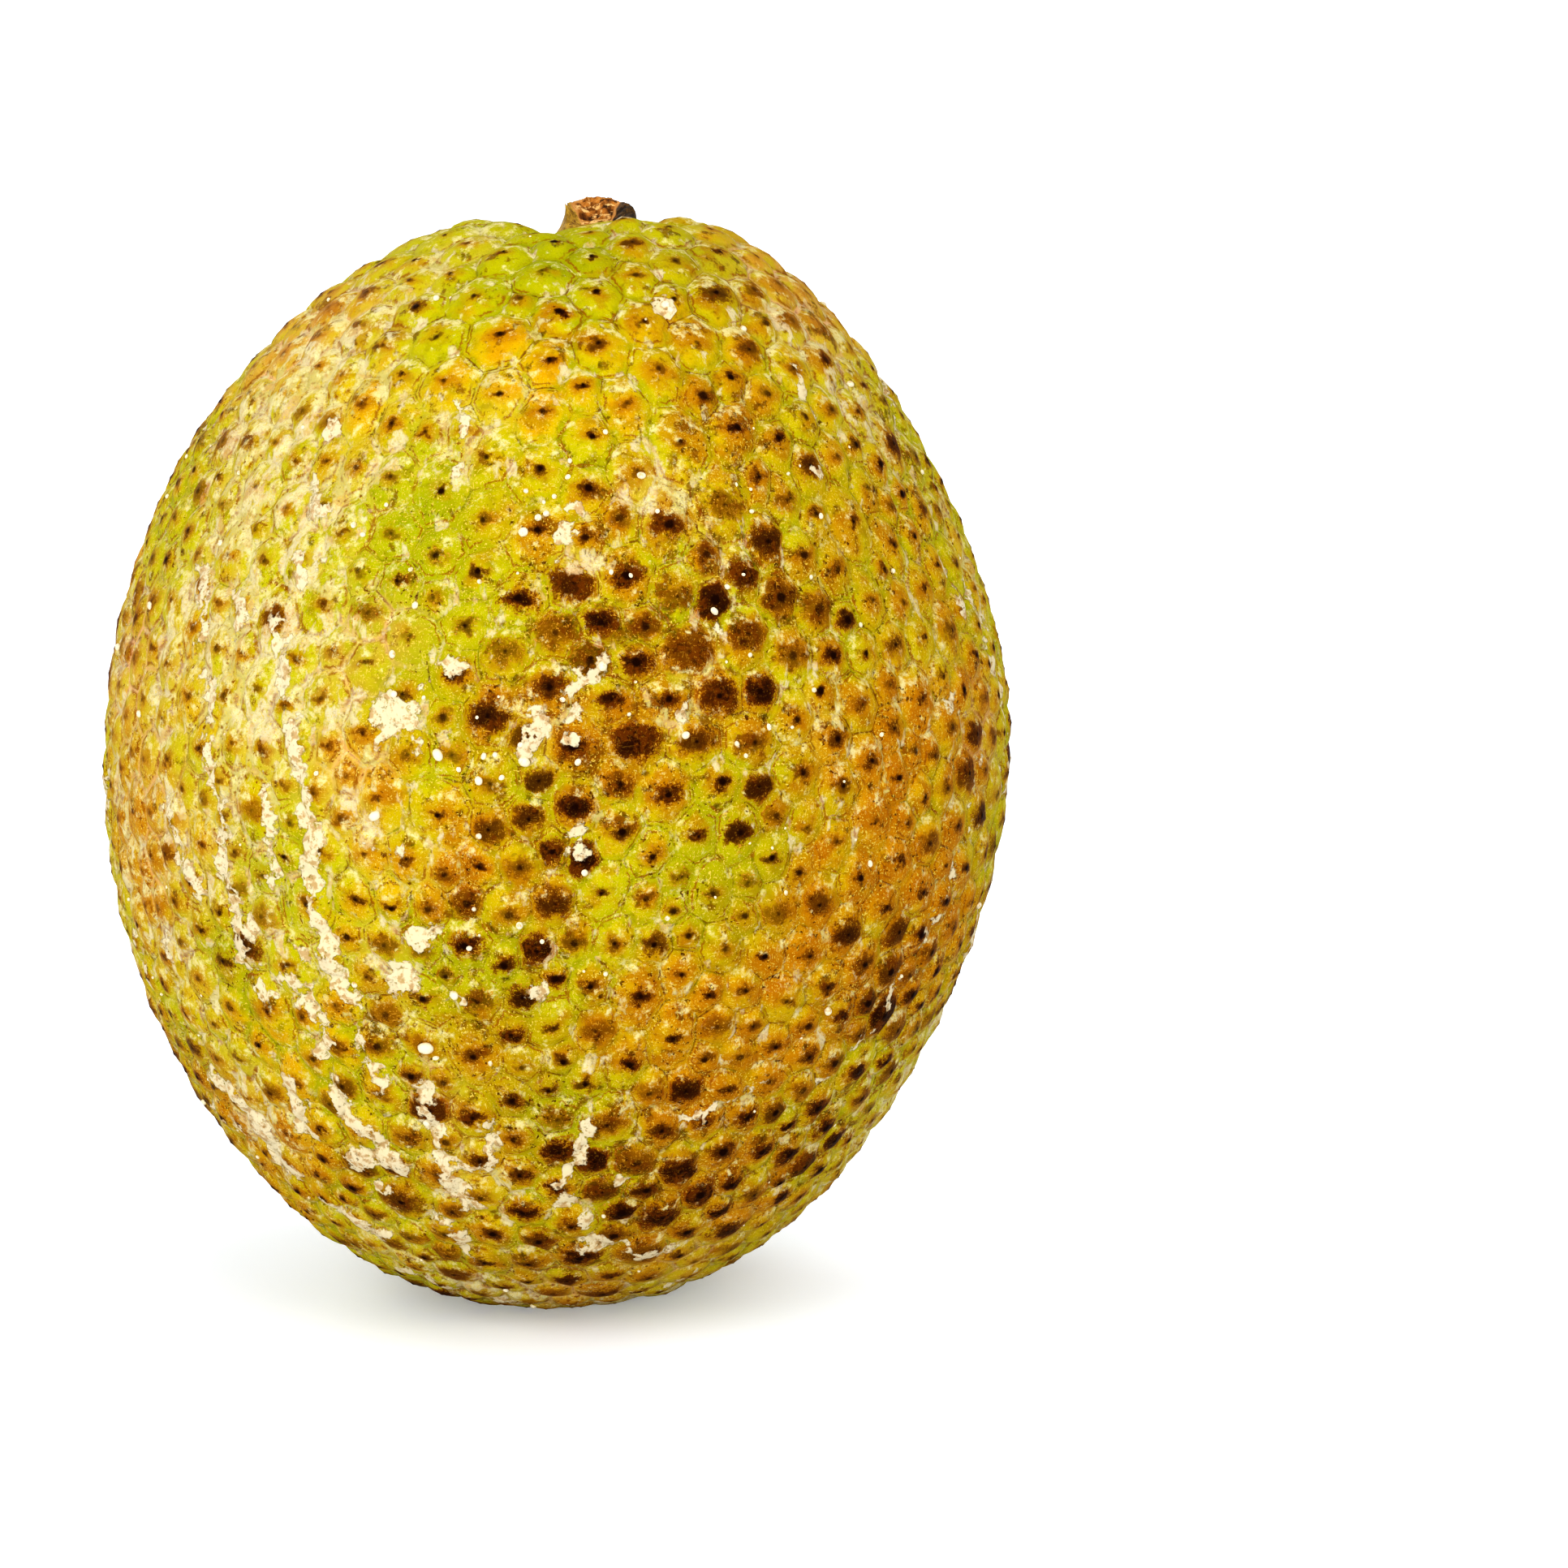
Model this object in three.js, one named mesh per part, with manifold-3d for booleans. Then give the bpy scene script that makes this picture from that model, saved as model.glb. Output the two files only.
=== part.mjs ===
// A whole breadfruit, standing on its blossom end with its stalk up.
//
// The fruit is one fused body. Every polygon of its skin, an areole, is the tip of one flower of the
// head it grew from: a low peak with a groove round it. The second piece is the stub of the stalk
// that the fruit hung by, broken off at a slant in the hollow at the top.
//
// Millimetres, +Z up, origin at the middle of the flat spot that the fruit rests on. -Y is the front.

import * as THREE from 'three';
import { ConvexHull } from 'three/addons/math/ConvexHull.js';
import Module from 'manifold-3d';

// The body: a round solid, widest a little above half its height.
const WIDEST_RADIUS = 71.9;
const WIDEST_HEIGHT = 93.2;
const CROWN_RISE = 82.2; // from the widest height to where the top would be without its hollow
const REST_RADIUS = 13; // of the flat spot at the bottom
// How much leaner than an ellipse the crown and the bowl are, and where they turn fuller.
const CROWN_TAPER = 0.166;
const CROWN_TURN = 1.06;
const BOWL_TAPER = 0.087;
const BOWL_TURN = 0.71;

// The hollow round the stalk, and the lobes of its rim.
const HOLLOW_DEPTH = 9.5;
const HOLLOW_RADIUS = 12;
const LOBE_HEIGHT = 0.9;
const LOBE_COUNT = 5;
const LOBE_RING_RADIUS = 15;
const LOBE_RING_WIDTH = 7;

// The crown leans to the right, and its rim is higher in front than behind.
const CROWN_LEAN = 5.6;
const RIM_TILT = 0.12;

// Broad swellings of the body, as shares of its radius.
const SWELLINGS = [
  { share: 0.015, round: 2, along: 1.0, phase: 3.36 },
  { share: 0.0125, round: 3, along: -1.4, phase: 1.89 },
];

// The areoles, larger at the crown than at the blossom end.
const AREOLE_GAP_TOP = 7.6; // least distance between two middles
const AREOLE_GAP_BOTTOM = 5.45;
const AREOLE_GAP_VARIES = 0.16;
const AREOLE_THROWS = 40000;
const AREOLE_SEED = 41;
const EVENING_ROUNDS = 2;
const EVENING_SHARE = 0.35;
const AREOLE_RISE = 0.5;
const AREOLE_RISE_VARIES = 0.3;
const CROWN_RISE_GAIN = 0.4; // how much more the areoles round the hollow bulge
const GROOVE_DEPTH = 0.32;

// The stalk. Its break slants down to the front and has a lip, and a torn horn at the left.
const STALK_CENTRE = new THREE.Vector2(7.4, 1.0);
const STALK_RADIUS = 5.6; // at the break
const STALK_FOOT_RADIUS = 8.4;
const STALK_ROOT_HEIGHT = 160; // where it starts, inside the fruit
const BREAK_HEIGHT = 173.4; // at the middle
const BREAK_SLANT = 0.42; // rise per millimetre to the back
const BREAK_LIP = 0.9;
const BREAK_LUMPS = 0.35;
const HORN_HEIGHT = 1.8;
const HORN_ANGLE = 3.2;
const HORN_WIDTH = 0.24; // radians
const STALK_SIDES = 28;
const STALK_SIDE_ROWS = 8;
const BREAK_ROWS = 4;
const JOIN_GAP = 0.3; // between the stalk's foot and the fruit

const wasm = await Module();
wasm.setup();

// A repeatable source of numbers from 0 to 1.
function seededRandom(seed) {
  let state = seed;
  return () => {
    state = (state + 0x6d2b79f5) | 0;
    let mixed = Math.imul(state ^ (state >>> 15), 1 | state);
    mixed = (mixed + Math.imul(mixed ^ (mixed >>> 7), 61 | mixed)) ^ mixed;
    return ((mixed ^ (mixed >>> 14)) >>> 0) / 4294967296;
  };
}

// How much the radius differs from an ellipse's, at a share of the way to the top or the bottom.
function taper(share, amount, turn) {
  return 1 - amount * share ** 2 * (1 - (share / turn) ** 2);
}

// The smooth body without its areoles: a point for each direction from the middle.
function bodyPoint(direction) {
  const up = direction.z;
  const across = Math.sqrt(Math.max(0, 1 - up * up));
  const round = Math.atan2(direction.y, direction.x);
  const bowlDrop = WIDEST_HEIGHT / Math.sqrt(1 - (REST_RADIUS / WIDEST_RADIUS) ** 2);

  let radius = WIDEST_RADIUS * across;
  radius *= up > 0 ? taper(up, CROWN_TAPER, CROWN_TURN) : taper(-up, BOWL_TAPER, BOWL_TURN);
  for (const s of SWELLINGS) {
    radius *= 1 + s.share * across * Math.sin(s.round * round + s.along * Math.PI * up + s.phase);
  }
  const point = new THREE.Vector3(radius * Math.cos(round), radius * Math.sin(round), 0);
  point.z = WIDEST_HEIGHT + up * (up > 0 ? CROWN_RISE : bowlDrop);

  const top = THREE.MathUtils.smoothstep(up, 0.3, 0.95);
  point.z -= top * HOLLOW_DEPTH * Math.exp(-((radius / HOLLOW_RADIUS) ** 3));
  const onRim = Math.exp(-(((radius - LOBE_RING_RADIUS) / LOBE_RING_WIDTH) ** 2));
  point.z += top * LOBE_HEIGHT * Math.cos(LOBE_COUNT * round) * onRim;
  point.z -= top * RIM_TILT * point.y;
  point.x += CROWN_LEAN * (Math.max(0, point.z) / (WIDEST_HEIGHT + CROWN_RISE)) ** 6;
  return point;
}

function bodyNormal(direction) {
  const step = 0.01;
  const side = new THREE.Vector3(-direction.y, direction.x, 0);
  if (side.lengthSq() < 1e-9) side.set(1, 0, 0);
  side.normalize();
  const upward = new THREE.Vector3().crossVectors(direction, side);
  const slope = (tangent) => {
    const ahead = direction.clone().addScaledVector(tangent, step).normalize();
    const behind = direction.clone().addScaledVector(tangent, -step).normalize();
    return bodyPoint(ahead).sub(bodyPoint(behind));
  };
  return slope(side).cross(slope(upward)).normalize();
}

// A skin point: the body point lifted by the relief. It lies on the floor where it would be lower.
// Near the floor and in the hollow the skin is smooth.
function skinPoint(direction, lift) {
  const point = bodyPoint(direction);
  const fromStalk = Math.hypot(point.x - STALK_CENTRE.x, point.y - STALK_CENTRE.y);
  const crown = direction.z > 0;
  const clearOfStalk = crown ? THREE.MathUtils.smoothstep(fromStalk, STALK_RADIUS, 9.5) : 1;
  const clearOfFloor = THREE.MathUtils.smoothstep(point.z, 0, 3);
  point.addScaledVector(bodyNormal(direction), lift * clearOfStalk * clearOfFloor);
  point.z = Math.max(0, point.z);
  return point;
}

// Directions of the areoles' middles: random throws that keep their distance from each other.
function throwAreoles(random) {
  const directions = [];
  const points = [];
  for (let i = 0; i < AREOLE_THROWS; i++) {
    const up = 2 * random() - 1;
    const round = 2 * Math.PI * random();
    const across = Math.sqrt(1 - up * up);
    const direction = new THREE.Vector3(across * Math.cos(round), across * Math.sin(round), up);
    const point = bodyPoint(direction);
    const gap = THREE.MathUtils.lerp(AREOLE_GAP_BOTTOM, AREOLE_GAP_TOP, ((up + 1) / 2) ** 3);
    const ownGap = gap * (1 + AREOLE_GAP_VARIES * (2 * random() - 1));
    if (points.every((other) => other.distanceTo(point) > ownGap)) {
      directions.push(direction);
      points.push(point);
    }
  }
  return directions;
}

// The triangles between neighbouring areoles, each as the edges of a hull's face.
function trianglesBetween(directions) {
  return new ConvexHull().setFromPoints(directions).faces.map((face) => {
    return [face.getEdge(0), face.getEdge(1), face.getEdge(2)];
  });
}

// Moves each areole part of the way to the middle of its neighbours.
function evenOut(directions) {
  const sums = new Map(directions.map((d) => [d, new THREE.Vector3()]));
  for (const edges of trianglesBetween(directions)) {
    for (const edge of edges) sums.get(edge.tail().point).add(edge.head().point);
  }
  return directions.map((d) => d.clone().lerp(sums.get(d).normalize(), EVENING_SHARE).normalize());
}

// The fruit: for each areole a peak, joined to the corners that it shares with its neighbours.
function fruitGeometry() {
  const random = seededRandom(AREOLE_SEED);
  let middles = throwAreoles(random);
  for (let i = 0; i < EVENING_ROUNDS; i++) middles = evenOut(middles);

  const positions = [];
  const addPoint = (direction, lift) => {
    positions.push(...skinPoint(direction, lift).toArray());
    return positions.length / 3 - 1;
  };
  const peaks = new Map();
  for (const middle of middles) {
    const bulge = 1 + CROWN_RISE_GAIN * THREE.MathUtils.smoothstep(middle.z, 0.8, 0.98);
    const own = 1 + AREOLE_RISE_VARIES * (2 * random() - 1);
    peaks.set(middle, addPoint(middle, AREOLE_RISE * bulge * own));
  }
  const triangles = trianglesBetween(middles);
  const corners = new Map();
  for (const edges of triangles) {
    const corner = new THREE.Vector3();
    for (const edge of edges) corner.add(edge.head().point);
    corners.set(edges[0].face, addPoint(corner.normalize(), -GROOVE_DEPTH));
  }
  const index = [];
  for (const edge of triangles.flat()) {
    index.push(peaks.get(edge.tail().point), corners.get(edge.twin.face), corners.get(edge.face));
  }
  const geometry = new THREE.BufferGeometry();
  geometry.setAttribute('position', new THREE.Float32BufferAttribute(positions, 3));
  geometry.setIndex(index);
  return geometry;
}

// The height of the break at an angle round the stalk, inward from its edge (1) to its middle (0).
function breakHeight(angle, outward) {
  const x = STALK_RADIUS * outward * Math.cos(angle);
  const y = STALK_RADIUS * outward * Math.sin(angle);
  const lip = BREAK_LIP * (outward ** 4 - 0.6);
  const horn = HORN_HEIGHT * Math.exp(-(((angle - HORN_ANGLE) / HORN_WIDTH) ** 2)) * outward ** 8;
  const lumps = Math.sin(1.3 * x + 0.5 * y + 1) * Math.cos(1.1 * y - 0.5 * x + 0.5);
  return BREAK_HEIGHT + BREAK_SLANT * y + lip + horn + BREAK_LUMPS * lumps;
}

function stalkPoint(angle, radius, z) {
  const ribbed = radius * (1 + 0.04 * Math.cos(3 * angle + 0.8) + 0.02 * Math.cos(7 * angle));
  const x = STALK_CENTRE.x + ribbed * Math.cos(angle);
  const y = STALK_CENTRE.y + ribbed * Math.sin(angle);
  return [x, y, z];
}

// The stalk before its foot is cut to the fruit: rings up its side, then rings in over the break.
function stalkGeometry() {
  const rows = [];
  const angles = Array.from({ length: STALK_SIDES }, (_, i) => (2 * Math.PI * i) / STALK_SIDES);
  for (let row = 0; row < STALK_SIDE_ROWS; row++) {
    const up = row / (STALK_SIDE_ROWS - 1);
    const radius = THREE.MathUtils.lerp(STALK_FOOT_RADIUS, STALK_RADIUS, up ** 1.5);
    rows.push(angles.map((angle) => {
      const z = THREE.MathUtils.lerp(STALK_ROOT_HEIGHT, breakHeight(angle, 1), up);
      return stalkPoint(angle, radius, z);
    }));
  }
  for (let row = 1; row < BREAK_ROWS; row++) {
    const outward = 1 - row / BREAK_ROWS;
    rows.push(angles.map((angle) => {
      return stalkPoint(angle, STALK_RADIUS * outward, breakHeight(angle, outward));
    }));
  }
  const positions = rows.flat(2);
  const root = positions.length / 3;
  positions.push(STALK_CENTRE.x, STALK_CENTRE.y, STALK_ROOT_HEIGHT);
  positions.push(STALK_CENTRE.x, STALK_CENTRE.y, breakHeight(0, 0));

  const index = [];
  const last = (rows.length - 1) * STALK_SIDES;
  for (let side = 0; side < STALK_SIDES; side++) {
    const next = (side + 1) % STALK_SIDES;
    index.push(root, next, side);
    index.push(last + side, last + next, root + 1);
    for (let row = 0; row < last; row += STALK_SIDES) {
      index.push(row + side, row + next, row + STALK_SIDES + next);
      index.push(row + side, row + STALK_SIDES + next, row + STALK_SIDES + side);
    }
  }
  const geometry = new THREE.BufferGeometry();
  geometry.setAttribute('position', new THREE.Float32BufferAttribute(positions, 3));
  geometry.setIndex(index);
  return geometry;
}

function solidOf(geometry) {
  const vertProperties = geometry.getAttribute('position').array;
  const triVerts = new Uint32Array(geometry.index.array);
  return new wasm.Manifold(new wasm.Mesh({ numProp: 3, vertProperties, triVerts }));
}

function geometryOf(solid) {
  const mesh = solid.getMesh();
  const geometry = new THREE.BufferGeometry();
  geometry.setAttribute('position', new THREE.BufferAttribute(mesh.vertProperties, 3));
  geometry.setIndex(new THREE.BufferAttribute(mesh.triVerts, 1));
  return geometry;
}

// Cuts the stalk's foot to the hollow that it stands in, a small gap clear of the fruit.
function cutToFruit(stalk, fruit) {
  return geometryOf(solidOf(stalk).subtract(solidOf(fruit).translate(0, 0, JOIN_GAP)));
}

function piece(name, geometry, color, roughness) {
  geometry.computeVertexNormals();
  const mesh = new THREE.Mesh(
    geometry,
    new THREE.MeshStandardMaterial({ color, roughness, metalness: 0, flatShading: true })
  );
  mesh.name = name;
  return mesh;
}

const fruit = fruitGeometry();
const stalk = cutToFruit(stalkGeometry(), fruit);

const breadfruit = new THREE.Group();
breadfruit.add(piece('fruit', fruit, 0xb8a02c, 0.55));
breadfruit.add(piece('stalk', stalk, 0x7a5a30, 0.8));

export default breadfruit;
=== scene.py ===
import math
import random
from collections import defaultdict

import bmesh
import bpy
import numpy as np
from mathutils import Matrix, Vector, noise
from mathutils.bvhtree import BVHTree


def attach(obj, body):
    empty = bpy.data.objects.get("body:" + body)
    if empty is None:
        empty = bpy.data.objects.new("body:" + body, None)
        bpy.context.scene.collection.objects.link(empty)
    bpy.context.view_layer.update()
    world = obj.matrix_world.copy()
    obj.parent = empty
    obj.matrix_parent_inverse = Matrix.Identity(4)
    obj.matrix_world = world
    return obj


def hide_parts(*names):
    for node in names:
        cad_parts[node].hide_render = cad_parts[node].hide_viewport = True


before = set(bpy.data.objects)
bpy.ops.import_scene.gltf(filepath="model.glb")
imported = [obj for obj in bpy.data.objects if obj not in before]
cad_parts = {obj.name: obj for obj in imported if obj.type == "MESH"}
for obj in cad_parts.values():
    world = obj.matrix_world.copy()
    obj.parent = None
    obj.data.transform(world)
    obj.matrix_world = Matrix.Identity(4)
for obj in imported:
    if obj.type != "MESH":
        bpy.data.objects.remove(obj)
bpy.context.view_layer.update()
scene = bpy.context.scene
mm = 0.001


def addObject(name, data):
    item = bpy.data.objects.new(name, data)
    scene.collection.objects.link(item)
    return item


def turnTo(item, direction):  # as cameras and lights look, along their own -Z
    item.rotation_mode = "QUATERNION"
    item.rotation_quaternion = direction.to_track_quat("-Z", "Y")


def shadeSmooth(mesh):
    mesh.polygons.foreach_set("use_smooth", np.ones(len(mesh.polygons), dtype=bool))


cameraSettings = {
    "elevation": 10,  # degrees
    "distance": 1.0,  # from the fruit's middle, metres
    "viewWidth": 0.2512,  # metres seen across at that distance
    "middleHeight": 0.088,
    "pixels": 1932,  # across the square picture, for every pixel named below
    "middlePixel": (680, 924),  # where the fruit's middle is seen
    "sensor": 36,  # mm
    "leastFacing": 0.22,  # of skin whose colours are listed; 1 is straight at the camera
}


def makeCamera(settings):
    angle = math.radians(settings["elevation"])
    back = Vector((0, -math.cos(angle), math.sin(angle)))
    right = Vector((1, 0, 0))
    up = right.cross(-back)
    middle = Vector((0, 0, settings["middleHeight"]))
    perPixel = settings["viewWidth"] / settings["pixels"]
    half = settings["pixels"] / 2
    aim = middle + right * (half - settings["middlePixel"][0]) * perPixel
    aim -= up * (half - settings["middlePixel"][1]) * perPixel
    camera = addObject("camera", bpy.data.cameras.new("camera"))
    camera.location = middle + back * settings["distance"]
    turnTo(camera, aim - camera.location)
    camera.data.sensor_width = settings["sensor"]
    camera.data.lens = settings["sensor"] * settings["distance"] / settings["viewWidth"]
    scene.camera = camera
    return camera


camera = makeCamera(cameraSettings)


def weldedMesh(mesh):  # points and triangles, with each corner once
    points = np.empty(len(mesh.vertices) * 3)
    mesh.vertices.foreach_get("co", points)
    points = points.reshape(-1, 3)
    microns = np.round(points / 1e-6)
    _, first, merged = np.unique(microns, axis=0, return_index=True, return_inverse=True)
    mesh.calc_loop_triangles()
    triangles = np.empty(len(mesh.loop_triangles) * 3, dtype=np.int32)
    mesh.loop_triangles.foreach_get("vertices", triangles)
    return points[first], merged.reshape(-1)[triangles].reshape(-1, 3)


cadPoints, cadTriangles = weldedMesh(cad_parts["fruit"].data)
cadSkin = BVHTree.FromPolygons([Vector(p) for p in cadPoints], cadTriangles.tolist())
print("packed fruit:", len(cadPoints), "points,", len(cadTriangles), "triangles")


def throughPixel(x, y, surface=cadSkin):  # the skin point that the camera sees at a pixel
    half = cameraSettings["pixels"] / 2
    scale = cameraSettings["sensor"] / cameraSettings["pixels"] / camera.data.lens
    ray = Vector(((x - half) * scale, (half - y) * scale, -1)).normalized()
    ray = camera.rotation_quaternion @ ray
    hit = surface.ray_cast(camera.location, ray)[0]
    return hit if hit else surface.find_nearest(camera.location + ray)[0]


def onSkin(bearing, elevation, surface=cadSkin):  # degrees round from the front, and up
    across, up = math.radians(bearing), math.radians(elevation)
    level = math.cos(up)
    outward = Vector((math.sin(across) * level, -math.cos(across) * level, math.sin(up)))
    middle = Vector((0, 0, cameraSettings["middleHeight"]))
    return surface.ray_cast(middle + outward * 0.3, -outward)[0]


def inSight(spot):
    outward = cadSkin.find_nearest(spot)[1]
    facing = outward.dot((camera.location - spot).normalized())
    return facing > cameraSettings["leastFacing"]


def anyDirection(draw, lowest=-75, highest=86):  # bearing and elevation, even over the fruit
    low, high = math.sin(math.radians(lowest)), math.sin(math.radians(highest))
    return draw.uniform(0, 360), math.degrees(math.asin(draw.uniform(low, high)))


def findAreoles(points, triangles):  # for each triangle: its areole's middle and its two corners
    owners = defaultdict(list)
    for t, corners in enumerate(triangles.tolist()):
        for k in range(3):
            owners[frozenset((corners[k], corners[(k + 1) % 3]))].append(t)
    valence = np.bincount(triangles.ravel())
    # a corner always joins six triangles, so a point that joins another number is a middle
    odd = np.flatnonzero((valence != 6) & (points[:, 2] > 0.02))[0]
    start = int(np.flatnonzero((triangles == odd).any(axis=1))[0])
    middleOf = {start: int(odd)}
    waiting = [start]
    while waiting:
        t = waiting.pop()
        corners = triangles[t].tolist()
        for k in range(3):
            edge = frozenset((corners[k], corners[(k + 1) % 3]))
            for other in owners[edge]:
                if other in middleOf:
                    continue
                if middleOf[t] in edge:
                    middleOf[other] = middleOf[t]
                else:
                    middleOf[other] = next(c for c in triangles[other].tolist() if c not in edge)
                waiting.append(other)
    sectors = []
    for t, middle in middleOf.items():
        corners = triangles[t].tolist()
        k = corners.index(middle)
        sectors.append((middle, corners[(k + 1) % 3], corners[(k + 2) % 3]))
    sectors.sort()
    return np.array(sectors)


def pointNormals(points, triangles):
    a, b, c = (points[triangles[:, k]] for k in range(3))
    faceNormals = np.cross(b - a, c - a)
    normals = np.zeros_like(points)
    for k in range(3):
        np.add.at(normals, triangles[:, k], faceNormals)
    return normals / np.linalg.norm(normals, axis=1, keepdims=True)


def smoothed(points, triangles, rounds, inward=0.5, outward=-0.53):  # the body without its relief
    pairs = np.concatenate([triangles[:, [0, 1]], triangles[:, [1, 2]], triangles[:, [2, 0]]])
    count = np.bincount(pairs[:, 0], minlength=len(points))[:, None]
    result = points.copy()
    for step in range(rounds * 2):
        total = np.zeros_like(result)
        np.add.at(total, pairs[:, 0], result[pairs[:, 1]])
        result += (inward if step % 2 == 0 else outward) * (total / count - result)
    return result


skinSettings = {
    "rings": (0.14, 0.38, 0.66, 0.86, 1.0),  # shares of the way to an areole's border
    "halvedFrom": 2,  # the ring from which each side has a point at its middle
    "smoothing": 6,
    "roundness": 0.75,  # how far the facets bulge to a smooth body
    "height": 0.176,  # metres
    "crown": (0.72, 0.96),  # shares of the height between which the crown begins
    # the next three are for low on the fruit, then for the crown
    "relief": (1.0, 0.95),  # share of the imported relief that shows
    "flatness": (2.3, 2.1),  # how flat-topped an areole is
    "crease": (0.10, 0.34),  # mm, how deep the border between two areoles is
    "creaseWidth": 0.9,  # mm
    "borderWander": 0.5,  # mm
    "lumps": 0.10,  # mm
    "lumpSize": 5.0,  # mm
    "nub": 0.13,  # mm, the tip at each middle
    # pixel x and y, radius and depth in mm
    "dents": [(648, 276, 7, 1.5), (690, 274, 6, 1.9), (722, 276, 5, 1.6)],
    "latexHeight": 0.14,  # mm
    "latexBend": 1.3,  # mm, how far the latex strays from its straight stretches
    "washRun": 1.5,  # how much longer than wide the wash is, because it has run downwards
    "plainFrom": (0.13, 0.165),  # metres up, where the stains shrink towards the crown
}


def sectorPattern(settings):  # points as shares of (middle, corner, next corner), and triangles
    rings = settings["rings"]
    halved = settings["halvedFrom"]
    last = len(rings) - 1
    shares, kinds = [(1, 0, 0)], [("middle", 0)]
    rows = [[0]]
    for k, r in enumerate(rings):
        row = []
        steps = (0, 0.5, 1) if k >= halved else (0, 1)
        for step in steps:
            row.append(len(shares))
            shares.append((1 - r, r * (1 - step), r * step))
            side = {0: "first", 0.5: "half", 1: "second"}[step]
            kinds.append((side + ("Border" if k == last else ""), k))
        rows.append(row)
    faces = []
    for inner, outer in zip(rows, rows[1:]):
        if len(inner) == 1:
            faces.append((inner[0], outer[0], outer[1]))
        elif len(inner) == len(outer):
            for i in range(len(inner) - 1):
                faces.append((inner[i], outer[i], outer[i + 1]))
                faces.append((inner[i], outer[i + 1], inner[i + 1]))
        else:
            faces.append((inner[0], outer[0], outer[1]))
            faces.append((inner[0], outer[1], inner[1]))
            faces.append((inner[1], outer[1], outer[2]))
    return np.array(shares, dtype=float), kinds, np.array(faces)


def patternKeys(kinds, sectors):  # whole numbers, the same for points that sectors share
    middle, a, b = sectors[:, 0], sectors[:, 1], sectors[:, 2]
    zero = np.zeros_like(middle)
    low, high = np.minimum(a, b), np.maximum(a, b)
    columns = []
    for side, k in kinds:
        ring = zero + k
        columns.append({
            "middle": (zero, middle, zero, zero),
            "first": (zero + 1, middle, a, ring),
            "second": (zero + 1, middle, b, ring),
            "half": (zero + 2 + k, middle, a, b),
            "firstBorder": (zero + 20, a, zero, zero),
            "secondBorder": (zero + 20, b, zero, zero),
            "halfBorder": (zero + 21, low, high, zero),
        }[side])
    keys = np.array([np.stack(c, axis=1) for c in columns])  # pattern point, sector, 4
    return keys.transpose(1, 0, 2)


sectors = findAreoles(cadPoints, cadTriangles)
areoleIds, areoleOf = np.unique(sectors[:, 0], return_inverse=True)
print("areoles:", len(areoleIds))


def soft(value, start, end):  # 0 to 1 between start and end
    t = np.clip((value - start) / (end - start), 0, 1)
    return t * t * (3 - 2 * t)


def noiseAt(points, size, seed):  # smooth noise from -1 to 1, with features of a size in metres
    shift = Vector((seed * 3.7, seed * 1.9, seed * 5.3))
    return np.array([noise.noise(Vector(p) / size + shift) for p in points])


# Where the skin's colours lie: pixels on the side that the camera sees, chance on the others.

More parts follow.
